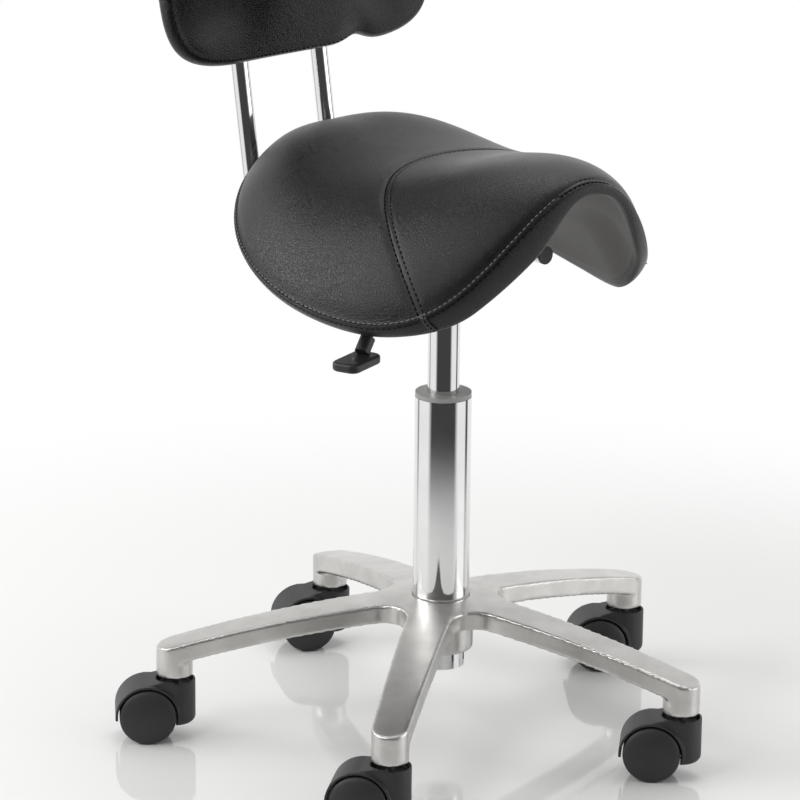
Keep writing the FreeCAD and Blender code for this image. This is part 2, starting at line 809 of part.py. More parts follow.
def post_path(x):
    lean = radians(post_lean)
    front = V(x, -post_front, post_height)
    corner = V(x, post_rear, post_height)
    rise = V(0, sin(lean), cos(lean))
    top = corner + rise * ((post_top - post_height) / cos(lean))
    turn = pi / 2 - lean
    setback = post_bend * tan(turn / 2)
    start = corner - V(0, setback, 0)
    end = corner + rise * setback
    centre = start + UP * post_bend
    half_way = (corner - centre).normalize()
    middle = centre + half_way * post_bend
    return front, start, middle, end, top


def post(x):
    front, start, middle, end, top = post_path(x)
    spine = Part.Wire([line(front, start), arc(start, middle, end), line(end, top)])
    solids = []
    for radius in (post_radius, post_radius - post_wall):
        circle = Part.Wire(Part.makeCircle(radius, front, V(0, 1, 0)))
        solids.append(spine.makePipeShell([circle], True, False))
    return solids[0].cut(solids[1])


def post_plugs():
    """Moulded plugs in the four open ends of the tubes."""
    plugs = []
    for x in (-post_x, post_x):
        front, start, middle, end, top = post_path(x)
        for tip, inward in ((front, (start - front).normalize()), (top, (end - top).normalize())):
            cap = rod(post_radius, tip - inward * plug_rim, tip)
            body = rod(post_radius - post_wall, tip, tip + inward * plug_length)
            plugs.append(cap.fuse(body).removeSplitter())
    return Part.makeCompound(plugs)


def back_place(depth, up, x):
    """Point of the leaning, curved pad: depth is forward of the board, up along the lean."""
    lean = radians(post_lean)
    bow = x ** 2 / (2 * back_curve)
    foot = post_rear + (back_low - post_height) * tan(lean)
    stand = post_radius + bracket_reach
    forward = depth + bow + stand / cos(lean)
    return V(x, foot + up * sin(lean) - forward * cos(lean), back_low + up * cos(lean) + forward * sin(lean))


def back_section(share, low_depth, high_depth, inset, low_crown, high_crown):
    """Section across the pad at one place along its width. Without an inset its edges are round."""
    x = share * (back_half_width - inset)
    half = (back_height / 2 - inset) * (1 - abs(share) ** back_squareness) ** (1 / back_squareness)
    middle = back_height / 2
    rear, front = low_depth + low_crown, high_depth - high_crown
    mid_depth = (rear + front) / 2
    front_low, front_high = back_place(front, middle - half, x), back_place(front, middle + half, x)
    rear_low, rear_high = back_place(rear, middle - half, x), back_place(rear, middle + half, x)
    side = min((front - rear) / 2, half * back_edge_share)
    if inset > 0:
        top_edge = line(front_high, rear_high)
        low_edge = line(rear_low, front_low)
    else:
        top_edge = arc(front_high, back_place(mid_depth, middle + half + side, x), rear_high)
        low_edge = arc(rear_low, back_place(mid_depth, middle - half - side, x), front_low)
    return Part.Wire([
        arc(front_low, back_place(high_depth, middle, x), front_high), top_edge,
        arc(rear_high, back_place(low_depth, middle, x), rear_low), low_edge,
    ])


def back_layer(low_depth, high_depth, inset, low_crown, high_crown):
    sections = [back_section(s, low_depth, high_depth, inset, low_crown, high_crown) for s in back_shares]
    return Part.makeLoft(sections, True, False)


def post_bracket(x, board_side):
    """Steel block between a post and the curved board."""
    low = bracket_foot(x)
    deep = post_radius + bracket_reach + bracket_spare
    wide = bracket_half_width
    tab = block(x - wide, x + wide, -deep, bracket_lap - post_radius, 0, bracket_height)
    tab.rotate(V(0, 0, 0), V(1, 0, 0), -post_lean)
    tab.translate(V(0, low.y, low.z))
    tube = rod(post_radius, low - lean_up() * bracket_height, low + lean_up() * 2 * bracket_height)
    return tab.cut(tube).cut(board_side)


def lean_up():
    return V(0, sin(radians(post_lean)), cos(radians(post_lean)))


def bracket_foot(x):
    top = post_path(x)[-1]
    return top - lean_up() * (bracket_height + bracket_end)


def backrest():
    pad_low = board_thickness + layer_gap
    pad_high = pad_low + back_thickness
    board = back_layer(0, board_thickness, board_inset, board_crown, board_crown)
    board_side = back_layer(0, back_thickness, 0, board_crown, board_crown)
    forward = V(0, -cos(radians(post_lean)), sin(radians(post_lean)))
    brackets = []
    screws = []
    for x in (-post_x, post_x):
        bracket = post_bracket(x, board_side)
        toward_middle = V(-x, 0, 0).normalize()
        for up in (screw_inset, bracket_height - screw_inset):
            away = toward_middle * -(bracket_half_width - screw_head - end_room)
            place = bracket_foot(x) + lean_up() * up + away
            outer = place + forward * (post_radius - bracket_lap)
            inner = place + forward * (post_radius + bracket_reach + board_thickness - end_room)
            shaft = rod(screw_radius, outer, inner)
            head = rod(screw_head, outer - forward * screw_head_height, outer)
            screws.append(shaft.fuse(head).removeSplitter())
            bracket = bracket.cut(shaft)
            board = board.cut(shaft)
        brackets.append(bracket)
        shapes["left_post" if x > 0 else "right_post"] = post(x)
    shapes["backrest_pad"] = back_layer(pad_low, pad_high, 0, back_rear_crown, back_front_crown)
    shapes["backrest_board"] = board
    shapes["post_brackets"] = Part.makeCompound(brackets)
    shapes["backrest_screws"] = Part.makeCompound(screws)
    shapes["post_plugs"] = post_plugs()


shapes["star_base"] = star_base()
gas_lift()
casters()
saddle()
mechanism()
backrest()

os.makedirs("parts", exist_ok=True)
for name, shape in shapes.items():
    shape.exportStep("parts/%s.step" % name)
    facts = (name, len(shape.Solids), shape.Volume, shape.isValid())
    print("%-22s %2d solids, volume %10.1f, valid %s" % facts)
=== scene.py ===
import json
from math import acos, asin, atan2, copysign, cos, exp, hypot, pi, radians, sin, sqrt, tan

import bmesh
import bpy
from mathutils import Matrix, Vector


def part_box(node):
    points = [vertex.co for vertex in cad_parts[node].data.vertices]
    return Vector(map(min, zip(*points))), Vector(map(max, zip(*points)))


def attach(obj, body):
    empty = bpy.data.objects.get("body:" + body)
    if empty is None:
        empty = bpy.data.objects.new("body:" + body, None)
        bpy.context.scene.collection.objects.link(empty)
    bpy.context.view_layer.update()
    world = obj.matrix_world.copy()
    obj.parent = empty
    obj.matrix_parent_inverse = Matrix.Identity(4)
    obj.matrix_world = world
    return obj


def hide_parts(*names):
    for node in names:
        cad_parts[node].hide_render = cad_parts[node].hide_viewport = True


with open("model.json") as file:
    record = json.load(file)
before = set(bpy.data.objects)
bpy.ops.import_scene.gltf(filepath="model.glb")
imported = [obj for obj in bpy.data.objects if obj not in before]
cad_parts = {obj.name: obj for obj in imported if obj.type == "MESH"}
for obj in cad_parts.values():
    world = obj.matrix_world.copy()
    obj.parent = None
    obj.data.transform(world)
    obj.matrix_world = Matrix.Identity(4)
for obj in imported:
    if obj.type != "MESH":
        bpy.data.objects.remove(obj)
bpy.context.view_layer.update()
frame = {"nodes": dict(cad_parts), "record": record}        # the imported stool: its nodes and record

bpy.context.scene.view_settings.view_transform = "Standard"
MM = 0.001

# The photograph's view: places in metres, lens and sensor in millimetres
CAMERA_PLACE = (-2.44906, -2.52596, 1.37157)
CAMERA_FORWARD = (0.65866, 0.69409, -0.29053)
CAMERA_UP = (0.19287, 0.21748, 0.95682)
CAMERA_LENS = 189.87
CAMERA_SENSOR = 36.0

# Saddle, in millimetres; turn runs round the rim from 0 at the front to pi at the rear
RIM_ACROSS = (175.2, -36.8, 11.4)
RIM_FORWARD = (13.8, 176.4, -21.8)
RIM_HEIGHT = (461.5, 5.7, 51.0, 7.1, 5.5)
SEAT_MIDDLE = -8.0
SEAT_REACH = 176.4
FRONT_HEIGHT = 530.8
REAR_HEIGHT = 505.2
CROWN_WAVE = (4.0, -5.5, 80.7, -31.0, -27.2, 25.3)
FLANK_POWER = (4.39, 0.95, -1.32)
FLANK_ROUND = (0.18, 0.50)
COVER_GRID = 220
NEAR_RIM = 0.98
BAND_BULGE = 3.6
# Depth of the side band at turns round the rim, on the sitter's right and left
BAND_RIGHT = ((0.0, 12.0), (0.48, 31.0), (0.85, 28.0), (1.3, 19.0), (1.7, 17.5), (2.3, 25.0), (pi, 21.0))
BAND_LEFT = ((0.0, 12.0), (0.3, 9.5), (0.8, 15.0), (1.3, 27.0), (1.7, 26.0), (2.3, 25.0), (pi, 21.0))
BAND_LEAN = 0.7
BAND_STEPS = 14
LIP_REACH = 4.0
LIP_LIFT = 1.0
PAD_DEPTH = 22.0
PAD_SHARES = (0.91, 0.87, 0.8, 0.55, 0.3)    # shares of the rim at which the pad's underside has a ring
PANEL_HALF_WIDTH = 134.0
PANEL_ORIGIN = 112.0
PANEL_LENGTH = 123.0
PANEL_END_GAP = 2.5
VALLEY_DEPTH = 1.5
VALLEY_WIDTH = 3.6
SKIN_GRID = 120
SKIN_EDGE = 0.984
SKIN_DEPTH = 35.0
SKIN_THICKNESS = 1.2
SKIN_BLEND = 0.30
SKIN_WINDOW_GAP = 1.0
SHELL_EDGE = 0.76
SHELL_DEPTH = 23.4
SHELL_THICKNESS = 6.5
BOSS_TOP = 495.0
BOSS_INSET = 2.0
BOSS_EDGE = 1.2

# Seams and stitches
SEAM_SECTION = ((-0.3, -0.7), (-0.15, 0.1), (0.05, 0.6), (0.5, 0.85), (1.4, 0.95), (2.8, 0.92), (3.7, 0.85),
                (4.3, 0.6), (4.9, 0.82), (5.6, 0.75), (6.3, 0.5), (6.9, -0.4), (3.0, -0.9))
STITCH_ROWS = ((-0.9, 0.65), (4.3, 0.95))    # offset across the seam and rise
FRONT_SEAM_TURN = 0.21
SEAM_END_LEFT = radians(6.0)    # how far the panel's seam runs round the roll of the band
SEAM_END_RIGHT = radians(150.0)
RIM_STEPS = 420
FRONT_STEPS = 60
PANEL_STEPS = 260
SEAM_END_STEPS = 24
BACK_STEPS = 400
STITCH_PITCH = 5.0
STITCH_LENGTH = 3.7
STITCH_THICKNESS = 1.25

# Backrest pad, in millimetres
POST_REAR = 192.4
POST_HEIGHT = 441.0
POST_LEAN = radians(9.4)
POST_STAND = 14.0
BACK_LOW = 581.5
BACK_CURVE = 1200.0
BACK_ASIDE = -6.0
BACK_HALF_WIDTH = 148.0
BACK_HALF_HEIGHT = 102.0
BACK_MIDDLE = 105.0
BACK_SQUARENESS = 5.0
BACK_PUCKER = 7.0
BACK_PUCKER_PLACE = 66.0
BACK_PUCKER_WIDTH = 15.0
BACK_GRID = 72
BACK_FRONT = 49.0
BACK_CROWN = 23.0
BACK_REAR = 7.6
BACK_DISH = 2.0
BACK_BULGE = 7.0
BACK_SIDE_STEPS = 8
BACK_SHARES = (0.96, 0.9, 0.75, 0.5, 0.25)    # shares of the outline at which the pad's rear has a ring
PUFF_FRAMES = 20
PUFF_LIMIT = 8.0
CREASE_ROUNDS = 40

# Casters and base, in millimetres
ARM_COUNT = 5
ARM_RADIUS = 236.0
CASTER_TURNS = (140.0, 151.0, 141.0, 127.0, 131.0)
TRAIL = 24.0
WHEEL_RADIUS = 25.0
WHEEL_START = 5.4
WHEEL_WIDTH = 15.5
WHEEL_DOME = 5.5
WHEEL_TURNS = 72
AXLE_BORE = 4.05
HUB_RADIUS = 8.0
POCKET_RADIUS = 21.0
POCKET_DEPTH = 8.0
POCKET_DRAFT = 0.5
CAP_DEPTH = 3.0
TREAD_CORNER = 1.8
TREAD_EDGE = ((-3.0, 0.0), (-1.6, 0.0), (-0.5, 0.35), (0.35, 1.1))    # past the flat and in from the tread
DOME_SHARE = 0.93
CAST_VOXEL = 1.6
HOOD_VOXEL = 0.75
SOFTEN_ROUNDS = 3

# Studio, in metres; shares of its ring run from 0 to 1 with the dim end in front of the camera at a half
STOOL_MIDDLE = (0.0, 0.0, 0.47)
LAMPS = (    # name, place, aim, width, height and power
    ("left_box", (-1.61, 1.26, 1.29), STOOL_MIDDLE, 1.7, 0.4, 24.0),
    ("side_box", (-1.57, -0.08, 1.70), STOOL_MIDDLE, 0.55, 0.35, 6.0),
    ("top_box", (0.6, 0.4, 2.4), (0.0, 0.0, 0.3), 1.6, 1.6, 16.0),
    ("right_box", (1.9, -2.2, 0.75), (0.0, 0.25, 0.62), 1.8, 1.4, 13.0),
)
FRONT_TURN = atan2(CAMERA_FORWARD[1], CAMERA_FORWARD[0]) + pi    # azimuth of the dim end
FLOOR_RADIUS = 12.0
LIGHT_LEVEL = 0.5
CEILING_LEVEL = 0.55
DARK_WALLS = (    # shares where a dark stretch starts, is dark, is last dark and ends, and its level
    (0.155, 0.165, 0.185, 0.195, 0.35),
    (0.33, 0.37, 0.63, 0.67, 0.06),
    (0.775, 0.785, 0.815, 0.825, 0.1),
)


# Small helpers

def smooth_step(low, high, value):
    share = min(max((value - low) / (high - low), 0.0), 1.0)
    return share * share * (3.0 - 2.0 * share)


def harmonics(terms, turn):
    return sum(term * cos(order * turn) for order, term in enumerate(terms))


def add_piece(bm, name, body, material):
    """A finished mesh as a smooth piece that rides on a body."""
    bmesh.ops.recalc_face_normals(bm, faces=bm.faces)
    mesh = bpy.data.meshes.new(name)
    bm.to_mesh(mesh)
    bm.free()
    mesh.materials.append(material)
    mesh.shade_smooth()
    piece = bpy.data.objects.new(name, mesh)
    bpy.context.scene.collection.objects.link(piece)
    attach(piece, body)
    return piece


def copy_of_node(name):
    """The merged mesh of a CAD node, to be worked into a finer piece."""
    bm = bmesh.new()
    bm.from_mesh(frame["nodes"][name].data)
    bmesh.ops.remove_doubles(bm, verts=bm.verts, dist=0.02 * MM)
    return bm


def grid_to_disc(u, v):
    """Side and ahead places on the unit disc for a point of the square from -1 to 1."""
    return u * sqrt(1.0 - v * v / 2.0), v * sqrt(1.0 - u * u / 2.0)


def next_ring(bm, edges, places):
    """Extrudes a loop of edges, and gives each new corner the place of the one it came from."""
    made = bmesh.ops.extrude_edge_only(bm, edges=edges)["geom"]
    ring = {}
    for vert in made:
        if isinstance(vert, bmesh.types.BMVert):
            old = next(edge.other_vert(vert) for edge in vert.link_edges if edge.other_vert(vert) in places)
            ring[vert] = places[old]
    places.update(ring)
    return [item for item in made if isinstance(item, bmesh.types.BMEdge) and item.is_boundary], ring


# Material groups

def socket_of(group, name, direction, kind, value=None):
    socket = group.interface.new_socket(name=name, in_out=direction, socket_type=kind)
    if value is not None:
        socket.default_value = value


def add_node(tree, kind, inputs=None, **settings):
    node = tree.nodes.new(kind)
    for name, value in settings.items():
        setattr(node, name, value)
    for name, value in (inputs or {}).items():
        if isinstance(value, bpy.types.NodeSocket):
            tree.links.new(value, node.inputs[name])
        else:
            node.inputs[name].default_value = value
    return node


def maths(tree, operation, first, second=0.0, third=0.0):
    node = tree.nodes.new("ShaderNodeMath")
    node.operation = operation
    for place, value in enumerate((first, second, third)):
        if isinstance(value, bpy.types.NodeSocket):
            tree.links.new(value, node.inputs[place])
        elif place < len(node.inputs):
            node.inputs[place].default_value = value
    return node.outputs[0]


def range_of(tree, value, low, high, new_low, new_high, smooth=False):
    node = add_node(tree, "ShaderNodeMapRange", {"Value": value})
    node.interpolation_type = "SMOOTHSTEP" if smooth else "LINEAR"
    for name, number in (("From Min", low), ("From Max", high), ("To Min", new_low), ("To Max", new_high)):
        node.inputs[name].default_value = number
    return node.outputs["Result"]


def noise(tree, vector, scale, detail=2.0, roughness=0.5):
    inputs = {"Vector": vector, "Scale": scale, "Detail": detail, "Roughness": roughness}
    return add_node(tree, "ShaderNodeTexNoise", inputs).outputs["Fac"]


def start_group(name, inputs, outputs):
    group = bpy.data.node_groups.new(name, "ShaderNodeTree")
    for label, value in inputs:
        socket_of(group, label, "INPUT", "NodeSocketFloat", value)
    for label in outputs:
        socket_of(group, label, "OUTPUT", "NodeSocketFloat")
    entry = group.nodes.new("NodeGroupInput")
    leave = group.nodes.new("NodeGroupOutput")
    place = group.nodes.new("ShaderNodeTexCoord").outputs["Object"]
    return group, entry, leave, place


def handling_marks():
    """Broad soft patches and fine specks, as on anything that has been touched and dusted."""
    group, entry, leave, place = start_group("handling_marks", [("Patch Scale", 14.0)], ["Patches", "Specks"])
    patches = noise(group, place, entry.outputs["Patch Scale"], 4.0, 0.6)
    specks = noise(group, place, 1400.0, 2.0, 0.6)
    group.links.new(range_of(group, patches, 0.3, 0.7, 0.0, 1.0), leave.inputs["Patches"])
    group.links.new(range_of(group, specks, 0.3, 0.7, 0.0, 1.0), leave.inputs["Specks"])
    return group


def hide_grain():
    """Pebbles of leatherette with finer creases between them."""
    inputs = [("Pebble Scale", 620.0), ("Crease Scale", 1700.0)]
    group, entry, leave, place = start_group("hide_grain", inputs, ["Height", "Shade"])
    warp = noise(group, place, 240.0, 2.0, 0.5)
    shift = add_node(group, "ShaderNodeCombineXYZ", {"X": warp, "Y": warp, "Z": warp}).outputs["Vector"]
    small = add_node(group, "ShaderNodeVectorMath", {0: shift, "Scale": 0.0016}, operation="SCALE")
    bent = add_node(group, "ShaderNodeVectorMath", {0: place, 1: small.outputs["Vector"]}, operation="ADD")
    cells = add_node(group, "ShaderNodeTexVoronoi", {"Vector": bent.outputs["Vector"],
                                                     "Scale": entry.outputs["Pebble Scale"]})
    cells.feature = "F1"
    pebbles = range_of(group, cells.outputs["Distance"], 0.05, 0.75, 1.0, 0.0, smooth=True)
    creases = noise(group, place, entry.outputs["Crease Scale"], 3.0, 0.6)
    height = maths(group, "MULTIPLY_ADD", creases, 0.45, pebbles)
    group.links.new(height, leave.inputs["Height"])
    group.links.new(range_of(group, height, 0.3, 1.3, 0.0, 1.0), leave.inputs["Shade"])
    return group


def arm_brushing():
    """Fine brush lines that run out along each of the five arms, from polar places about the column."""
    group, entry, leave, place = start_group("arm_brushing", [("Line Scale", 900.0)], ["Lines", "Clouds"])
    parts = add_node(group, "ShaderNodeSeparateXYZ", {"Vector": place})
    x, y, z = (parts.outputs[name] for name in "XYZ")
    angle = maths(group, "ARCTAN2", y, x)
    half = pi / ARM_COUNT
    inside = maths(group, "WRAP", angle, half, -half)
    squares = maths(group, "MULTIPLY_ADD", x, x, maths(group, "MULTIPLY", y, y))
    radius = maths(group, "SQRT", squares)
    along = maths(group, "MULTIPLY", radius, maths(group, "COSINE", inside))
    beside = maths(group, "MULTIPLY", radius, maths(group, "SINE", inside))
    arm = maths(group, "ROUND", maths(group, "DIVIDE", angle, 2.0 * half))
    slow = maths(group, "MULTIPLY_ADD", arm, 0.37, maths(group, "MULTIPLY", along, 0.03))
    streak = add_node(group, "ShaderNodeCombineXYZ", {"X": slow, "Y": beside, "Z": z}).outputs["Vector"]
    lines = noise(group, streak, entry.outputs["Line Scale"], 3.0, 0.6)
    clouds = noise(group, place, 38.0, 3.0, 0.55)
    group.links.new(range_of(group, lines, 0.3, 0.7, 0.0, 1.0), leave.inputs["Lines"])
    group.links.new(range_of(group, clouds, 0.3, 0.7, 0.0, 1.0), leave.inputs["Clouds"])
    return group


def moulded_texture():
    """Fine spark texture of moulded plastic."""
    group, entry, leave, place = start_group("moulded_texture", [("Texture Scale", 1900.0)], ["Height"])
    fine = noise(group, place, entry.outputs["Texture Scale"], 3.0, 0.65)
    group.links.new(fine, leave.inputs["Height"])
    return group


GROUPS = {make.__name__: make() for make in (handling_marks, hide_grain, arm_brushing, moulded_texture)}


# Materials

def use_group(tree, name, **values):
    node = tree.nodes.new("ShaderNodeGroup")
    node.node_tree = GROUPS[name]
    for label, value in values.items():
        node.inputs[label.replace("_", " ").title()].default_value = value
    return node


def start_material(name, colour, roughness, metallic=0.0, **sockets):
    """A material with its constants on the shader's own sockets."""
    material = bpy.data.materials.new(name)
    material.use_nodes = True
    tree = material.node_tree
    shader = tree.nodes["Principled BSDF"]
    shader.inputs["Base Color"].default_value = (*colour, 1.0)
    shader.inputs["Roughness"].default_value = roughness
    shader.inputs["Metallic"].default_value = metallic
    for label, value in sockets.items():
        shader.inputs[label.replace("_", " ")].default_value = value
    material.diffuse_color = (*colour, 1.0)
    return material, tree, shader


def shade_colour(tree, shader, factor, dark, light):
    mix = add_node(tree, "ShaderNodeMix", {"Factor": factor}, data_type="RGBA")
    mix.inputs[6].default_value = (*dark, 1.0)
    mix.inputs[7].default_value = (*light, 1.0)
    tree.links.new(mix.outputs[2], shader.inputs["Base Color"])


def shade_roughness(tree, shader, factor, low, high):
    tree.links.new(range_of(tree, factor, 0.0, 1.0, low, high), shader.inputs["Roughness"])


def raise_bump(tree, shader, height, distance, strength=1.0):
    bump = add_node(tree, "ShaderNodeBump", {"Height": height, "Strength": strength, "Distance": distance})
    tree.links.new(bump.outputs["Normal"], shader.inputs["Normal"])


def leatherette():
    material, tree, shader = start_material("black_leatherette", (0.008, 0.008, 0.0084), 0.34,
                                            Specular_IOR_Level=0.36)
    grain = use_group(tree, "hide_grain", pebble_scale=950.0, crease_scale=2600.0)
    marks = use_group(tree, "handling_marks", patch_scale=16.0)
    shade_colour(tree, shader, grain.outputs["Shade"], (0.004, 0.004, 0.0043), (0.012, 0.012, 0.0124))
    shade_roughness(tree, shader, marks.outputs["Patches"], 0.29, 0.37)
    raise_bump(tree, shader, grain.outputs["Height"], 0.0002, 0.9)
    return material


def seam_leatherette():
    """Leatherette pulled tight over a seam: the same hide, its grain flattened."""
    material, tree, shader = start_material("seam_leatherette", (0.008, 0.008, 0.0084), 0.34,
                                            Specular_IOR_Level=0.42)
    grain = use_group(tree, "hide_grain", pebble_scale=1000.0, crease_scale=2600.0)
    shade_colour(tree, shader, grain.outputs["Shade"], (0.004, 0.004, 0.0043), (0.012, 0.012, 0.0124))
    raise_bump(tree, shader, grain.outputs["Height"], 0.00012, 0.7)
    return material


def thread(name, dark, light, roughness, shine):
    """Twisted sewing thread."""
    material, tree, shader = start_material(name, (light, light, light), roughness, Specular_IOR_Level=shine)
    marks = use_group(tree, "handling_marks", patch_scale=60.0)
    shade_colour(tree, shader, marks.outputs["Specks"], (dark, dark, dark), (light, light, light))
    raise_bump(tree, shader, marks.outputs["Specks"], 0.0001, 0.6)
    return material


def vinyl():
    # Its lighter grey base colour is painted reflection of the bright floor on the dark underside.
    material, tree, shader = start_material("grey_vinyl", (0.085, 0.083, 0.078), 0.55)
    marks = use_group(tree, "handling_marks", patch_scale=9.0)
    texture = use_group(tree, "moulded_texture", texture_scale=900.0)
    shade_colour(tree, shader, marks.outputs["Patches"], (0.076, 0.074, 0.069), (0.094, 0.091, 0.086))
    shade_roughness(tree, shader, marks.outputs["Specks"], 0.5, 0.62)
    raise_bump(tree, shader, texture.outputs["Height"], 0.00015, 0.4)
    return material


def aluminium():
    material, tree, shader = start_material("satin_aluminium", (0.62, 0.61, 0.59), 0.34, 1.0)
    brush = use_group(tree, "arm_brushing", line_scale=900.0)
    marks = use_group(tree, "handling_marks", patch_scale=22.0)
    shade_colour(tree, shader, brush.outputs["Clouds"], (0.56, 0.55, 0.53), (0.68, 0.67, 0.65))
    smears = maths(tree, "MULTIPLY", marks.outputs["Patches"], 0.5)
    blend = maths(tree, "MULTIPLY_ADD", brush.outputs["Lines"], 0.5, smears)
    shade_roughness(tree, shader, blend, 0.27, 0.42)
    raise_bump(tree, shader, brush.outputs["Lines"], 0.00005, 0.5)
    return material


def bright_metal(name, colour, smooth, dull, patch_scale, bump=0.00002):
    """Plated or machined metal with faint smears."""
    material, tree, shader = start_material(name, colour, smooth, 1.0)
    marks = use_group(tree, "handling_marks", patch_scale=patch_scale)
    darker = tuple(channel * 0.93 for channel in colour)
    shade_colour(tree, shader, marks.outputs["Patches"], darker, colour)
    shade_roughness(tree, shader, marks.outputs["Patches"], smooth, dull)
    raise_bump(tree, shader, marks.outputs["Specks"], bump, 0.3)
    return material


def moulded(name, dark, light, low, high, texture_scale, relief):
    """Moulded plastic or rubber with a fine texture."""
    material, tree, shader = start_material(name, light, high)
    marks = use_group(tree, "handling_marks", patch_scale=28.0)
    texture = use_group(tree, "moulded_texture", texture_scale=texture_scale)
    shade_colour(tree, shader, marks.outputs["Patches"], dark, light)
    shade_roughness(tree, shader, marks.outputs["Specks"], low, high)
    raise_bump(tree, shader, texture.outputs["Height"], relief, 0.5)
    return material


def plywood():
    """Thin birch veneers seen at the board's edge, with grain along its length."""
    material, tree, shader = start_material("plywood", (0.5, 0.33, 0.18), 0.6)
    place = tree.nodes.new("ShaderNodeTexCoord").outputs["Object"]
    stretch = add_node(tree, "ShaderNodeMapping", {"Vector": place, "Scale": (1.0, 14.0, 60.0)})
    grain = noise(tree, stretch.outputs["Vector"], 22.0, 5.0, 0.6)
    shade_colour(tree, shader, grain, (0.33, 0.19, 0.09), (0.62, 0.43, 0.25))
    shade_roughness(tree, shader, grain, 0.5, 0.7)
    raise_bump(tree, shader, grain, 0.0002, 0.4)
    return material


MOULDED = (    # name, dark and light colour, low and high roughness, texture scale and relief
    ("black_steel", (0.012, 0.012, 0.012), (0.02, 0.02, 0.02), 0.32, 0.42, 700.0, 0.00012),
    ("black_plastic", (0.016, 0.016, 0.0165), (0.022, 0.022, 0.0225), 0.42, 0.52, 1900.0, 0.00010),
    ("wheel_plastic", (0.018, 0.018, 0.0185), (0.025, 0.025, 0.0255), 0.46, 0.56, 1900.0, 0.00010),
    ("guide_plastic", (0.35, 0.35, 0.34), (0.42, 0.42, 0.41), 0.4, 0.5, 1200.0, 0.00008),
    ("black_rubber", (0.012, 0.012, 0.012), (0.018, 0.018, 0.018), 0.6, 0.72, 900.0, 0.0002),
)
MATERIALS = {
    "black_leatherette": leatherette(),
    "grey_vinyl": vinyl(),
    "satin_aluminium": aluminium(),
    "chrome": bright_metal("chrome", (0.80, 0.80, 0.80), 0.035, 0.075, 30.0),
    "zinc_steel": bright_metal("zinc_steel", (0.55, 0.55, 0.54), 0.28, 0.42, 60.0, 0.00006),
    "plywood": plywood(),
    **{row[0]: moulded(*row) for row in MOULDED},
}
SEAM = seam_leatherette()
# Black stitches: their own black, set darker than the hide so that they also paint the shade in the seams.
BLACK_THREAD_AND_SEAM_SHADE = thread("black_thread_and_painted_seam_shade", 0.0015, 0.003, 0.8, 0.08)
# Light grey thread for the rim seam's face-side row: a painted glint of light on dark stitches.
PAINTED_GLINT_THREAD = thread("painted_glint_thread", 0.10, 0.20, 0.4, 0.5)


def dress_nodes():
    """Every CAD piece gets the finish of its material slot."""
    for row in frame["record"]["subparts"]:
        node = frame["nodes"][row["node"]]
        node.data.materials.clear()
        node.data.materials.append(MATERIALS[row["material_slot"]])


# Saddle surface

def rim_at(turn):
    """Across, forward and height of the rim seam."""
    return harmonics(RIM_ACROSS, turn) * sin(turn), harmonics(RIM_FORWARD, turn), harmonics(RIM_HEIGHT, turn)


def turn_at(forward):
    """Turn at which the rim is this far forward."""
    base, swing, twist = RIM_FORWARD
    root = sqrt(swing * swing - 8.0 * twist * (base - twist - forward))
    cosine = (root - swing) / (4.0 * twist)
    return acos(min(max(cosine, -1.0), 1.0))


def crown_height(forward):
    """Height of the saddle's ridge, and the share of its reach, from -1 at the rear to 1 at the front."""
    share = (forward - SEAT_MIDDLE) / SEAT_REACH
    rear, front = rim_at(pi)[1], rim_at(0.0)[1]
    chord = REAR_HEIGHT + (FRONT_HEIGHT - REAR_HEIGHT) * (forward - rear) / (front - rear)
    wave = sum(term * share ** order for order, term in enumerate(CROWN_WAVE))
    return chord + (1.0 - share * share) * wave, share


def seat_height(across, forward):
    """Height of the saddle's face over a point of its plan."""
    crown, share = crown_height(forward)
    half, _, edge = rim_at(turn_at(forward))
    if half < 0.01:
        return crown
    power = sum(term * share ** order for order, term in enumerate(FLANK_POWER))
    rounded = sum(term * share ** order for order, term in enumerate(FLANK_ROUND))
    reach = min(abs(across) / half, 1.0)
    return crown - (crown - edge) * (rounded * reach ** 2 + (1.0 - rounded) * reach ** power)


def seat_point(side, ahead):
    """Point of the saddle's face for a place on the unit disc, ahead being 1 at the front."""
    radius = min(hypot(side, ahead), 1.0)
    half, forward, _ = rim_at(atan2(abs(side), ahead))
    across = copysign(radius * half, side)
    forward = SEAT_MIDDLE + radius * (forward - SEAT_MIDDLE)
    return Vector((across, -forward, seat_height(across, forward)))


def seat_frame(side, ahead):
    """Point of the face, the way out along it and its normal."""
    radius = max(hypot(side, ahead), 1e-6)
    inner = min(1.0, NEAR_RIM / radius)
    near_side, near_ahead = side * inner, ahead * inner
    step = 0.006
    right = seat_point(near_side + step, near_ahead) - seat_point(near_side - step, near_ahead)
    front = seat_point(near_side, near_ahead + step) - seat_point(near_side, near_ahead - step)
    normal = front.cross(right).normalized()
    out = right * (side / radius) + front * (ahead / radius)
    out = (out - normal * out.dot(normal)).normalized()
    return seat_point(side, ahead), out, normal


def disc_place(across, forward):
    """Place on the unit disc for a point of the plan."""
    ahead = forward - SEAT_MIDDLE
    low, high = 0.0, pi
    for _ in range(40):
        turn = (low + high) / 2.0
        half, reach, _ = rim_at(turn)
        if atan2(half, reach - SEAT_MIDDLE) < atan2(abs(across), ahead):
            low = turn
        else:
            high = turn
    half, reach, _ = rim_at(turn)
    radius = hypot(across, ahead) / hypot(half, reach - SEAT_MIDDLE)
    return copysign(radius * sin(turn), across), radius * cos(turn)


def upright_normal(normal):
    """The normal of the face's cross section, in which the layers under the pad lie."""
    return Vector((normal.x, 0.0, normal.z)).normalized()


def band_depth(side, ahead):
    """Depth of the side band, which narrows over the front arch and is cut for each flap by itself."""
    turn = atan2(abs(side), ahead)
    depths = BAND_LEFT if side > 0.0 else BAND_RIGHT
    for (start, first), (end, last) in zip(depths, depths[1:]):
        if turn <= end:
            return first + (last - first) * smooth_step(start, end, turn)
    return depths[-1][1]


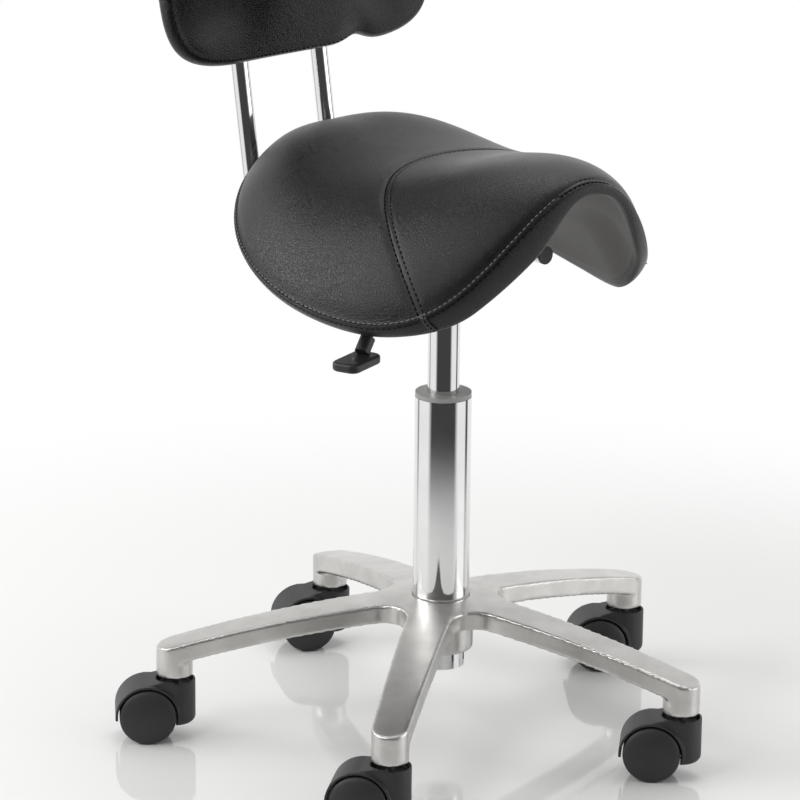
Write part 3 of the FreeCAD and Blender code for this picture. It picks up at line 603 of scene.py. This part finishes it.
def band_frame(side, ahead):
    """Point of the rim, the band's way out and its way down."""
    point, out, normal = seat_frame(side, ahead)
    down = -upright_normal(normal) * BAND_LEAN - Vector((0.0, 0.0, 1.0 - BAND_LEAN))
    down.normalize()
    out = (out - down * out.dot(down)).normalized()
    return point, out, down


def band_point(point, out, down, depth, roll):
    """Point and normal of the rounded band below the rim, roll being 0 at the rim and pi underneath."""
    place = point + out * BAND_BULGE * sin(roll) + down * depth / 2.0 * (1.0 - cos(roll))
    facing = out * depth / 2.0 * sin(roll) - down * BAND_BULGE * cos(roll)
    return place, facing.normalized()


def rim_place(turn, mirror, offset):
    """Point and normal at a distance from the rim seam, down the band where the distance is positive."""
    side, ahead = mirror * sin(turn), cos(turn)
    point, out, normal = seat_frame(side, ahead)
    if offset <= 0.0:
        return point + out * offset, normal
    depth = band_depth(side, ahead)
    _, out, down = band_frame(side, ahead)
    roll = 0.0
    step = 0.25
    for _ in range(round(offset / step)):
        speed = hypot(BAND_BULGE * cos(roll), depth / 2.0 * sin(roll))
        roll += step / speed
    return band_point(point, out, down, depth, roll)


def panel_distance(across, forward):
    """Distance in the plan from the panel's curved seam."""
    ahead = PANEL_ORIGIN - forward
    x, y = across / PANEL_HALF_WIDTH, ahead / PANEL_LENGTH
    size = hypot(x, y)
    if ahead < 0.0 or size < 0.2:
        return PANEL_LENGTH
    slope = hypot(x / PANEL_HALF_WIDTH, y / PANEL_LENGTH) / size
    return (size - 1.0) / slope


def valley(distance):
    """How deep the face sinks at a distance from a seam."""
    return VALLEY_DEPTH * exp(-(distance / VALLEY_WIDTH) ** 2)


def cover_point(side, ahead):
    """The face with its soft valleys along the seams."""
    point, _, normal = seat_frame(side, ahead)
    half, forward, _ = rim_at(atan2(abs(side), ahead))
    to_rim = (1.0 - hypot(side, ahead)) * hypot(half, forward - SEAT_MIDDLE)
    sink = max(valley(panel_distance(point.x, -point.y)), valley(to_rim))
    return point - normal * sink


def seat_cover():
    """Leatherette cover: the face, the rolled band, a lip under it and the pad's own underside."""
    bm = bmesh.new()
    grid = COVER_GRID
    bmesh.ops.create_grid(bm, x_segments=grid, y_segments=grid, size=1.0)
    places = {}
    for vert in bm.verts:
        places[vert] = grid_to_disc(vert.co.x, vert.co.y)
        vert.co = cover_point(*places[vert]) * MM
    rings = [("band", pi * step / BAND_STEPS) for step in range(1, BAND_STEPS + 1)]
    rings += [("under", -LIP_REACH / 2.0), ("under", -LIP_REACH)]
    rings += [("inside", share) for share in PAD_SHARES]
    edges = [edge for edge in bm.edges if edge.is_boundary]
    for kind, value in rings:
        edges, ring = next_ring(bm, edges, places)
        for vert, (side, ahead) in ring.items():
            point, out, down = band_frame(side, ahead)
            depth = band_depth(side, ahead)
            if kind == "band":
                vert.co, facing = band_point(point, out, down, depth, value)
                arc = value * sqrt(BAND_BULGE * depth / 2.0)
                vert.co -= facing * valley(arc) * cos(value / 2.0)
            elif kind == "under":
                vert.co = point + out * value + down * depth
            else:
                point, _, normal = seat_frame(side * value, ahead * value)
                low = depth + (PAD_DEPTH - depth) * smooth_step(0.0, SKIN_BLEND, 1.0 - value)
                vert.co = point - upright_normal(normal) * (low - LIP_LIFT)
            vert.co *= MM
    bmesh.ops.contextual_create(bm, geom=edges)
    cover = add_piece(bm, "seat_cover", "seat_carrier", MATERIALS["black_leatherette"])
    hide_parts("seat_pad")
    return cover


def arch_height(across, forward):
    """Height of the shell's round arch, which the skin under it follows."""
    crown, _ = crown_height(forward)
    half, _, edge = rim_at(turn_at(forward))
    fall = max(crown - edge, 0.01)
    if half < 0.01:
        return crown
    radius = (half * half + fall * fall) / (2.0 * fall)
    reach = min(abs(across), half)
    return crown - radius + sqrt(radius * radius - reach * reach)


def seat_shell():
    """Moulded ply shell inside the saddle, with the flat boss that the steel plate is bolted to."""
    bm = bmesh.new()
    bmesh.ops.create_grid(bm, x_segments=SKIN_GRID // 2, y_segments=SKIN_GRID // 2, size=1.0)
    for vert in bm.verts:
        side, ahead = grid_to_disc(vert.co.x, vert.co.y)
        point, _, normal = seat_frame(side * SHELL_EDGE, ahead * SHELL_EDGE)
        normal = upright_normal(normal)
        lift = max((point.z - arch_height(point.x, -point.y)) * normal.z, 0.0)
        vert.co = (point - normal * (SHELL_DEPTH + lift)) * MM
    bmesh.ops.recalc_face_normals(bm, faces=bm.faces)
    bmesh.ops.solidify(bm, geom=bm.faces[:], thickness=SHELL_THICKNESS * MM)
    low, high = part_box("seat_plate")
    inset = BOSS_INSET * MM
    foot = Vector((low.x + inset, low.y + inset, high.z))
    head = Vector((high.x - inset, high.y - inset, BOSS_TOP * MM))
    place = Matrix.Translation((foot + head) / 2.0) @ Matrix.Diagonal((*(head - foot), 1.0))
    boss = bmesh.ops.create_cube(bm, size=1.0, matrix=place)["verts"]
    corners = list({edge for vert in boss for edge in vert.link_edges})
    bmesh.ops.bevel(bm, geom=corners, offset=BOSS_EDGE * MM, segments=2, profile=0.5, affect="EDGES",
                    material=-1)
    shell = add_piece(bm, "saddle_shell", "seat_carrier", MATERIALS["plywood"])
    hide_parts("seat_shell")
    return shell


def seat_skin():
    """Smooth vinyl skin under the saddle, from the rolled edge to the mounting plate."""
    bm = bmesh.new()
    bmesh.ops.create_grid(bm, x_segments=SKIN_GRID, y_segments=SKIN_GRID, size=1.0)
    for vert in bm.verts:
        side, ahead = grid_to_disc(vert.co.x, vert.co.y)
        side, ahead = side * SKIN_EDGE, ahead * SKIN_EDGE
        point, _, normal = seat_frame(side, ahead)
        _, _, down = band_frame(side, ahead)
        normal = upright_normal(normal)
        lift = (point.z - arch_height(point.x, -point.y)) * normal.z
        edge = point + down * (band_depth(side, ahead) + SKIN_THICKNESS)
        inner = point - normal * (SKIN_DEPTH + lift)
        share = smooth_step(0.0, SKIN_BLEND, SKIN_EDGE - hypot(side, ahead))
        vert.co = edge.lerp(inner, share) * MM
    low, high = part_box("seat_plate")
    gap = SKIN_WINDOW_GAP * MM
    window = ((0, low.x - gap), (0, high.x + gap), (1, low.y - gap), (1, high.y + gap))
    for axis, place in window:
        normal = Vector()
        normal[axis] = 1.0
        whole = bm.verts[:] + bm.edges[:] + bm.faces[:]
        bmesh.ops.bisect_plane(bm, geom=whole, plane_co=normal * place, plane_no=normal)
    inside = []
    for face in bm.faces:
        middle = face.calc_center_median()
        if window[0][1] < middle.x < window[1][1] and window[2][1] < middle.y < window[3][1]:
            inside.append(face)
    bmesh.ops.delete(bm, geom=inside, context="FACES")
    bmesh.ops.recalc_face_normals(bm, faces=bm.faces)
    bmesh.ops.solidify(bm, geom=bm.faces[:], thickness=SKIN_THICKNESS * MM)
    # The skin's grey colour is painted reflection of the bright floor.
    skin = add_piece(bm, "seat_skin", "seat_carrier", MATERIALS["grey_vinyl"])
    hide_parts("seat_underside")
    return skin


# Seams and stitches

def sweep_seam(place, count, closed):
    """Raised, lapped seam; place gives a point and a normal for a step from 0 to count and an offset."""
    bm = bmesh.new()
    ring = {bm.verts.new(): spot for spot in SEAM_SECTION}
    corners = list(ring)
    start = [bm.edges.new(pair) for pair in zip(corners, corners[1:] + corners[:1])]
    edges = start
    places = dict(ring)
    for step in range(count + 1):
        if step > 0:
            edges, ring = next_ring(bm, edges, places)
        for vert, (offset, rise) in ring.items():
            point, normal = place(step, offset)
            vert.co = (point + normal * (rise - VALLEY_DEPTH)) * MM
    if closed:
        bmesh.ops.remove_doubles(bm, verts=bm.verts, dist=0.002 * MM)
    else:
        for end in (start, edges):
            bmesh.ops.contextual_create(bm, geom=end)
    return bm


def one_stitch():
    """Mesh of a short rounded stitch, lying along X."""
    bm = bmesh.new()
    size = Matrix.Diagonal((STITCH_LENGTH, STITCH_THICKNESS, STITCH_THICKNESS, 1.0))
    lying = Matrix.Rotation(pi / 2.0, 4, "Y")
    bmesh.ops.create_uvsphere(bm, u_segments=6, v_segments=4, radius=MM / 2.0, matrix=size @ lying)
    mesh = bpy.data.meshes.new("stitch")
    bm.to_mesh(mesh)
    bm.free()
    return mesh


STITCH = one_stitch()


def stitch_row(bm, place, count, offset, rise):
    """Stitches laid end to end along a seam, at an offset across it."""
    line = [place(step, offset) for step in range(count + 1)]
    points = [point + normal * (rise - VALLEY_DEPTH) for point, normal in line]
    normals = [normal for _, normal in line]
    lengths = [0.0]
    for first, second in zip(points, points[1:]):
        lengths.append(lengths[-1] + (second - first).length)
    travel = STITCH_PITCH / 2.0
    step = 0
    while travel < lengths[-1] - STITCH_PITCH / 2.0:
        while lengths[step + 1] < travel:
            step += 1
        share = (travel - lengths[step]) / (lengths[step + 1] - lengths[step])
        middle = points[step].lerp(points[step + 1], share)
        along = (points[step + 1] - points[step]).normalized()
        up = normals[step].lerp(normals[step + 1], share)
        up = (up - along * up.dot(along)).normalized()
        turn = Matrix((along, up.cross(along), up)).transposed().to_4x4()
        stitch = STITCH.copy()
        stitch.transform(Matrix.Translation(middle * MM) @ turn)
        bm.from_mesh(stitch)
        bpy.data.meshes.remove(stitch)
        travel += STITCH_PITCH


def rim_spot(turn, offset):
    """Point and normal for a turn from -pi to pi round the rim, positive on the sitter's left."""
    return rim_place(abs(turn), copysign(1.0, turn), offset)


def panel_path():
    """Points and normals along the panel's seam: up the band, over the face and down the other band."""
    start = asin(PANEL_END_GAP / PANEL_LENGTH)
    line = []
    for step in range(PANEL_STEPS + 1):
        angle = start + (pi - 2.0 * start) * step / PANEL_STEPS
        across = PANEL_HALF_WIDTH * cos(angle)
        forward = PANEL_ORIGIN - PANEL_LENGTH * sin(angle)
        side, ahead = disc_place(across, forward)
        if hypot(side, ahead) <= 1.0:
            point, _, normal = seat_frame(side, ahead)
            line.append((point, normal))
    ends = []
    for (point, _), roll in ((line[0], SEAM_END_LEFT), (line[-1], SEAM_END_RIGHT)):
        side, ahead = disc_place(point.x, -point.y)
        size = hypot(side, ahead)
        rim, out, down = band_frame(side / size, ahead / size)
        depth = band_depth(side, ahead)
        rolls = [roll * step / SEAM_END_STEPS for step in range(1, SEAM_END_STEPS + 1)]
        ends.append([band_point(rim, out, down, depth, part) for part in rolls])
    return list(reversed(ends[0])) + line + ends[1]


def make_seams():
    """The rim seam, lapped down the band but up the face over the front arch, and the panel's seam."""
    path = panel_path()
    sides = []
    for step, (point, normal) in enumerate(path):
        before = path[max(step - 1, 0)][0]
        after = path[min(step + 1, len(path) - 1)][0]
        sides.append((after - before).cross(normal).normalized())

    def round_rim(step, offset):
        turn = FRONT_SEAM_TURN + (2.0 * pi - 2.0 * FRONT_SEAM_TURN) * step / RIM_STEPS
        return rim_spot(turn if turn <= pi else turn - 2.0 * pi, offset)

    def over_front(step, offset):
        return rim_spot(FRONT_SEAM_TURN * (step - FRONT_STEPS) / FRONT_STEPS, -offset)

    def panel(step, offset):
        point, normal = path[step]
        return point - sides[step] * offset, normal

    painted_glint_stitches = bmesh.new()
    stitches = bmesh.new()
    seams = (("rim_seam", round_rim, RIM_STEPS), ("front_seam", over_front, 2 * FRONT_STEPS),
             ("panel_seam", panel, len(path) - 1))
    for name, place, count in seams:
        add_piece(sweep_seam(place, count, False), name, "seat_carrier", SEAM)
        for offset, rise in STITCH_ROWS:
            # The rim seam's row up the face takes the painted glint thread, and every other row the dark thread.
            painted_glint_row = name == "rim_seam" and offset < 0.0
            stitch_row(painted_glint_stitches if painted_glint_row else stitches, place, count, offset, rise)
    add_piece(painted_glint_stitches, "rim_stitches", "seat_carrier", PAINTED_GLINT_THREAD)
    add_piece(stitches, "seat_stitches", "seat_carrier", BLACK_THREAD_AND_SEAM_SHADE)


# Backrest pad

def back_point(across, up, depth):
    """Point of the leaning, curved pad: depth is forward of the posts' bracket, up along the lean."""
    forward = depth + across * across / (2.0 * BACK_CURVE) + POST_STAND / cos(POST_LEAN)
    foot = POST_REAR + (BACK_LOW - POST_HEIGHT) * tan(POST_LEAN)
    rear = foot + up * sin(POST_LEAN) - forward * cos(POST_LEAN)
    return Vector((across + BACK_ASIDE, rear, BACK_LOW + up * cos(POST_LEAN) + forward * sin(POST_LEAN)))


def back_outline(side, ahead, spread, gather=1.0):
    """Across and up on the pad's rounded outline, spread being how far outside the seam."""
    size = max(hypot(side, ahead), 1e-6)
    power = 2.0 / BACK_SQUARENESS
    x = copysign(abs(side / size) ** power, side)
    y = copysign(abs(ahead / size) ** power, ahead)
    across, up = x * (BACK_HALF_WIDTH + spread), y * (BACK_HALF_HEIGHT + spread)
    if ahead < 0.0:
        up += gather * BACK_PUCKER * exp(-((across - BACK_PUCKER_PLACE) / BACK_PUCKER_WIDTH) ** 2)
    return across, up


def back_face(side, ahead, rear=False):
    """Point on the pad's front, or on its rear, for a place on the unit disc."""
    radius = min(hypot(side, ahead), 1.0)
    across, up = back_outline(side, ahead, 0.0, radius ** 4)
    if rear:
        depth = BACK_REAR - BACK_DISH * (1.0 - radius ** 2)
    else:
        depth = BACK_FRONT - BACK_CROWN * radius ** 3
    return back_point(radius * across, BACK_MIDDLE + radius * up, depth)


def back_side(side, ahead, roll):
    """Point on the pad's side band, roll from 0 at the front seam to pi at the rear seam."""
    front = BACK_FRONT - BACK_CROWN
    across, up = back_outline(side, ahead, BACK_BULGE * sin(roll))
    depth = (front + BACK_REAR) / 2.0 + (front - BACK_REAR) / 2.0 * cos(roll)
    return back_point(across, BACK_MIDDLE + up, depth)


def inflate(piece, pinned):
    """Puffs the cover with a short cloth simulation, evens out its creases and limits the movement."""
    group = piece.vertex_groups.new(name="sewn")
    group.add(pinned, 1.0, "REPLACE")
    cloth = piece.modifiers.new("cloth", "CLOTH")
    settings = cloth.settings
    settings.quality = 6
    settings.mass = 0.3
    settings.tension_stiffness = 12.0
    settings.compression_stiffness = 12.0
    settings.shear_stiffness = 6.0
    settings.bending_stiffness = 0.35
    settings.shrink_min = -0.035
    settings.use_pressure = True
    settings.uniform_pressure_force = 4.0
    settings.vertex_group_mass = "sewn"
    settings.effector_weights.gravity = 0.0
    cloth.collision_settings.use_collision = False
    scene = bpy.context.scene
    for number in range(PUFF_FRAMES):
        scene.frame_set(number + 1)
    graph = bpy.context.evaluated_depsgraph_get()
    moved = [vert.co.copy() for vert in piece.evaluated_get(graph).data.vertices]
    piece.modifiers.remove(cloth)
    scene.frame_set(1)
    piece.vertex_groups.remove(group)
    bm = bmesh.new()
    bm.from_mesh(piece.data)
    bm.verts.ensure_lookup_table()
    still = set(pinned)
    shifts = [place - vert.co for vert, place in zip(bm.verts, moved)]
    for _ in range(CREASE_ROUNDS):
        evened = []
        for vert in bm.verts:
            beside = [shifts[edge.other_vert(vert).index] for edge in vert.link_edges]
            mean = sum(beside, shifts[vert.index]) / (len(beside) + 1)
            evened.append(Vector() if vert.index in still else mean)
        shifts = evened
    for vert, shift in zip(bm.verts, shifts):
        vert.co += shift * min(PUFF_LIMIT * MM / max(shift.length, 1e-9), 1.0)
    bm.to_mesh(piece.data)
    bm.free()


def back_cover():
    """Leatherette cover of the backrest: its front, its side band and its rear."""
    bm = bmesh.new()
    bmesh.ops.create_grid(bm, x_segments=BACK_GRID, y_segments=BACK_GRID, size=1.0)
    places = {}
    for vert in bm.verts:
        places[vert] = grid_to_disc(vert.co.x, vert.co.y)
        vert.co = back_face(*places[vert]) * MM
    edges = [edge for edge in bm.edges if edge.is_boundary]
    sewn = {vert for edge in edges for vert in edge.verts}
    rings = [("side", pi * step / BACK_SIDE_STEPS) for step in range(1, BACK_SIDE_STEPS + 1)]
    rings += [("rear", share) for share in BACK_SHARES]
    for kind, value in rings:
        edges, ring = next_ring(bm, edges, places)
        for vert, (side, ahead) in ring.items():
            if kind == "side":
                vert.co = back_side(side, ahead, value) * MM
            else:
                vert.co = back_face(side * value, ahead * value, True) * MM
                sewn.add(vert)
    bmesh.ops.contextual_create(bm, geom=edges)
    bm.verts.index_update()
    pinned = [vert.index for vert in sewn]
    cover = add_piece(bm, "backrest_cover", "backrest", MATERIALS["black_leatherette"])
    inflate(cover, pinned)
    finer = cover.modifiers.new("finer", "SUBSURF")
    finer.levels = 1
    finer.render_levels = 1
    finer.use_limit_surface = False
    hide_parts("backrest_pad")
    return cover


def back_seam_place(angle, offset, rear):
    """Point and normal at a distance from the pad's front or rear seam, across its side band if positive."""
    side, ahead = sin(angle), cos(angle)
    roll = pi if rear else 0.0
    if offset < 0.0:
        share = 1.0 + offset / BACK_HALF_HEIGHT
        point = back_face(side * share, ahead * share, rear)
    else:
        arc = offset / (BACK_FRONT - BACK_CROWN - BACK_REAR) * 2.0
        point = back_side(side, ahead, abs(roll - arc))
    turn, inset, tilt = 0.01, 0.96, 0.35
    edge = back_side(side, ahead, roll)
    along = back_side(sin(angle + turn), cos(angle + turn), roll) - edge
    inward = back_face(side * inset, ahead * inset, rear) - edge
    across = back_side(side, ahead, abs(roll - tilt)) - edge
    toward = -1.0 if rear else 1.0
    face_normal = inward.cross(along).normalized() * toward
    band_normal = along.cross(across).normalized() * toward
    normal = face_normal.lerp(band_normal, smooth_step(-3.0, 3.0, offset))
    return point, normal.normalized()


def back_seams():
    """Lapped seams round the front and the rear of the pad's side band, with their stitches."""
    stitches = bmesh.new()
    for name, rear in (("back_front_seam", False), ("back_rear_seam", True)):
        def place(step, offset):
            return back_seam_place(2.0 * pi * step / BACK_STEPS, offset, rear)

        strip = sweep_seam(place, BACK_STEPS, True)
        add_piece(strip, name, "backrest", SEAM)
        for offset, rise in STITCH_ROWS:
            stitch_row(stitches, place, BACK_STEPS, offset, rise)
    add_piece(stitches, "back_stitches", "backrest", BLACK_THREAD_AND_SEAM_SHADE)


# Base and casters

def remeshed(node, name, body, slot, voxel):
    """A CAD piece with its edges rounded as a casting's or a moulding's are."""
    piece = add_piece(copy_of_node(node), name, body, MATERIALS[slot])
    remesh = piece.modifiers.new("even", "REMESH")
    remesh.mode = "VOXEL"
    remesh.voxel_size = voxel * MM
    remesh.use_smooth_shade = True
    soften = piece.modifiers.new("soften", "SMOOTH")
    soften.factor = 0.5
    soften.iterations = SOFTEN_ROUNDS
    graph = bpy.context.evaluated_depsgraph_get()
    mesh = bpy.data.meshes.new_from_object(piece.evaluated_get(graph))
    piece.modifiers.clear()
    piece.data = mesh
    piece.data.materials.clear()
    piece.data.materials.append(MATERIALS[slot])
    piece.data.shade_smooth()
    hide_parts(node)
    return piece


def wheel_outline():
    """Half section of a wheel: place along the axle and radius, from the bore round the tread to the cap."""
    flat = WHEEL_START + WHEEL_WIDTH
    tip = flat + WHEEL_DOME
    dome = (WHEEL_RADIUS ** 2 + WHEEL_DOME ** 2) / (2.0 * WHEEL_DOME)
    floor = WHEEL_START + POCKET_DEPTH
    points = [(WHEEL_START, AXLE_BORE), (WHEEL_START, HUB_RADIUS), (floor, HUB_RADIUS + POCKET_DRAFT),
              (floor, POCKET_RADIUS - POCKET_DRAFT), (WHEEL_START, POCKET_RADIUS)]
    for step in range(5):
        angle = pi / 2.0 * step / 4
        points.append((WHEEL_START + TREAD_CORNER * (1.0 - cos(angle)),
                       WHEEL_RADIUS - TREAD_CORNER * (1.0 - sin(angle))))
    points += [(flat + past, WHEEL_RADIUS - drop) for past, drop in TREAD_EDGE]
    spread = DOME_SHARE * asin(WHEEL_RADIUS / dome)
    steps = 12
    for step in range(1, steps + 1):
        angle = spread * (1.0 - step / steps)
        points.append((tip - dome * (1.0 - cos(angle)), dome * sin(angle)))
    points += [(flat - CAP_DEPTH, 0.0), (flat - CAP_DEPTH, AXLE_BORE)]
    return points


def caster_frame(number):
    """Matrix from a caster's own frame, X trailing, to the row frame."""
    arm = 2.0 * pi * number / ARM_COUNT
    tip = Matrix.Translation((ARM_RADIUS * MM * cos(arm), ARM_RADIUS * MM * sin(arm), 0.0))
    return tip @ Matrix.Rotation(radians(CASTER_TURNS[number]), 4, "Z")


def caster_wheel(number, side, mirror):
    """One domed wheel, spun about its axle."""
    bm = bmesh.new()
    verts = [bm.verts.new((radius * MM, place * MM * mirror, 0.0)) for place, radius in wheel_outline()]
    edges = [bm.edges.new(pair) for pair in zip(verts, verts[1:])]
    edges.append(bm.edges.new((verts[-1], verts[0])))
    bmesh.ops.spin(bm, geom=verts + edges, cent=(0, 0, 0), axis=(0, 1, 0), angle=2.0 * pi,
                   steps=WHEEL_TURNS, use_merge=True)
    bmesh.ops.remove_doubles(bm, verts=bm.verts, dist=0.005 * MM)
    axle = Matrix.Translation((TRAIL * MM, 0.0, WHEEL_RADIUS * MM))
    bmesh.ops.transform(bm, matrix=caster_frame(number) @ axle, verts=bm.verts)
    name = "caster_%d_wheel_%s" % (number + 1, side)
    wheel = add_piece(bm, name + "_piece", "caster_%d_%s" % (number + 1, side),
                      MATERIALS["wheel_plastic"])
    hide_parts(name)
    return wheel


def base_and_casters():
    remeshed("star_base", "cast_base", "base", "satin_aluminium", CAST_VOXEL)
    for number in range(ARM_COUNT):
        node = "caster_%d_hood" % (number + 1)
        remeshed(node, node + "_piece", "caster_%d" % (number + 1), "black_plastic", HOOD_VOXEL)
        for side, mirror in (("left", 1.0), ("right", -1.0)):
            caster_wheel(number, side, mirror)


# Studio

def place_camera():
    view = bpy.data.cameras.new("photo_view")
    view.lens = CAMERA_LENS
    view.sensor_width = CAMERA_SENSOR
    view.sensor_fit = "HORIZONTAL"
    view.clip_end = 40.0
    camera = bpy.data.objects.new("photo_view", view)
    bpy.context.scene.collection.objects.link(camera)
    forward = Vector(CAMERA_FORWARD).normalized()
    right = forward.cross(Vector(CAMERA_UP)).normalized()
    up = right.cross(forward)
    turn = Matrix((right, up, -forward)).transposed().to_4x4()
    camera.matrix_world = Matrix.Translation(CAMERA_PLACE) @ turn
    bpy.context.scene.camera = camera


def soft_box(name, place, aim, width, height, power):
    lamp = bpy.data.lights.new(name, "AREA")
    lamp.shape = "RECTANGLE"
    lamp.size = width
    lamp.size_y = height
    lamp.energy = power
    holder = bpy.data.objects.new(name, lamp)
    bpy.context.scene.collection.objects.link(holder)
    holder.visible_camera = False
    holder.location = place
    holder.rotation_euler = (Vector(aim) - Vector(place)).to_track_quat("-Z", "Y").to_euler()


def shown_level(tree, walls):
    """Brightness for the camera, which sees white, for mirrors, which see the walls, and for the light."""
    path = tree.nodes.new("ShaderNodeLightPath")
    camera = path.outputs["Is Camera Ray"]
    shown = maths(tree, "MAXIMUM", camera, path.outputs["Is Glossy Ray"])
    shown = maths(tree, "MAXIMUM", shown, path.outputs["Is Transmission Ray"])
    seen = add_node(tree, "ShaderNodeMix", {"Factor": camera, "A": walls, "B": 1.0})
    level = add_node(tree, "ShaderNodeMix", {"Factor": shown, "A": LIGHT_LEVEL, "B": seen.outputs[0]})
    return level.outputs[0], camera


def front_share(tree, x, y):
    """Share of the turn about the stool, from 0 to 1 with the studio's dim end at a half."""
    turn = maths(tree, "SUBTRACT", maths(tree, "ARCTAN2", y, x), FRONT_TURN)
    wrapped = maths(tree, "WRAP", turn, pi, -pi)
    return range_of(tree, wrapped, -pi, pi, 0.0, 1.0)


def studio_ring(tree, share):
    """Brightness of the studio's walls round the stool: white, a dim end and two narrow dark gaps."""
    ramp = tree.nodes.new("ShaderNodeValToRGB")
    tree.links.new(share, ramp.inputs["Fac"])
    stops = [(0.0, 1.0)]
    for start, dark, last, end, level in DARK_WALLS:
        stops += [(start, 1.0), (dark, level), (last, level), (end, 1.0)]
    stops.append((1.0, 1.0))
    bar = ramp.color_ramp.elements
    while len(bar) < len(stops):
        bar.new(0.5)
    for element, (place, level) in zip(bar, stops):
        element.position = place
        element.color = (level, level, level, 1.0)
    return ramp.outputs["Color"]


def light_world():
    """White studio round the stool, its ceiling dimmer and its walls as the ring says."""
    world = bpy.data.worlds.new("studio")
    bpy.context.scene.world = world
    world.use_nodes = True
    tree = world.node_tree
    tree.nodes.clear()
    direction = tree.nodes.new("ShaderNodeTexCoord").outputs["Generated"]
    parts = add_node(tree, "ShaderNodeSeparateXYZ", {"Vector": direction})
    ring = studio_ring(tree, front_share(tree, parts.outputs["X"], parts.outputs["Y"]))
    high = range_of(tree, parts.outputs["Z"], 0.35, 0.6, 0.0, 1.0, smooth=True)
    walls = add_node(tree, "ShaderNodeMix", {"Factor": high, "A": ring, "B": CEILING_LEVEL})
    level, _ = shown_level(tree, walls.outputs[0])
    back = add_node(tree, "ShaderNodeBackground", {"Color": (1.0, 1.0, 1.0, 1.0), "Strength": level})
    out = tree.nodes.new("ShaderNodeOutputWorld")
    tree.links.new(back.outputs["Background"], out.inputs["Surface"])


def floor_material():
    """Glossy white acrylic sheet that fades into the white studio, and into its dim end in mirror rays."""
    material, tree, shader = start_material("studio_floor", (0.88, 0.88, 0.87), 0.05)
    place = tree.nodes.new("ShaderNodeTexCoord").outputs["Object"]
    parts = add_node(tree, "ShaderNodeSeparateXYZ", {"Vector": place})
    x, y = parts.outputs["X"], parts.outputs["Y"]
    squares = maths(tree, "MULTIPLY_ADD", x, x, maths(tree, "MULTIPLY", y, y))
    radius = maths(tree, "SQRT", squares)
    far = range_of(tree, radius, 0.45, 1.0, 0.0, 1.0, smooth=True)
    dim = range_of(tree, radius, 0.35, 0.9, 0.0, 1.0, smooth=True)
    ring = studio_ring(tree, front_share(tree, x, y))
    walls = add_node(tree, "ShaderNodeMix", {"Factor": dim, "A": 1.0, "B": ring})
    level, camera = shown_level(tree, walls.outputs[0])
    glow = add_node(tree, "ShaderNodeEmission", {"Strength": level})
    other = maths(tree, "SUBTRACT", 1.0, camera)
    faded = maths(tree, "MAXIMUM", far, maths(tree, "MULTIPLY", dim, other))
    mix = add_node(tree, "ShaderNodeMixShader",
                   {0: faded, 1: shader.outputs["BSDF"], 2: glow.outputs["Emission"]})
    tree.links.new(mix.outputs["Shader"], tree.nodes["Material Output"].inputs["Surface"])
    return material


def studio():
    light_world()
    bm = bmesh.new()
    bmesh.ops.create_circle(bm, cap_ends=True, segments=96, radius=FLOOR_RADIUS)
    mesh = bpy.data.meshes.new("studio_floor")
    bm.to_mesh(mesh)
    bm.free()
    mesh.materials.append(floor_material())
    floor = bpy.data.objects.new("studio_floor", mesh)
    bpy.context.scene.collection.objects.link(floor)
    for lamp in LAMPS:
        soft_box(*lamp)


place_camera()
studio()
dress_nodes()
seat_cover()
seat_shell()
seat_skin()
make_seams()
back_cover()
back_seams()
base_and_casters()
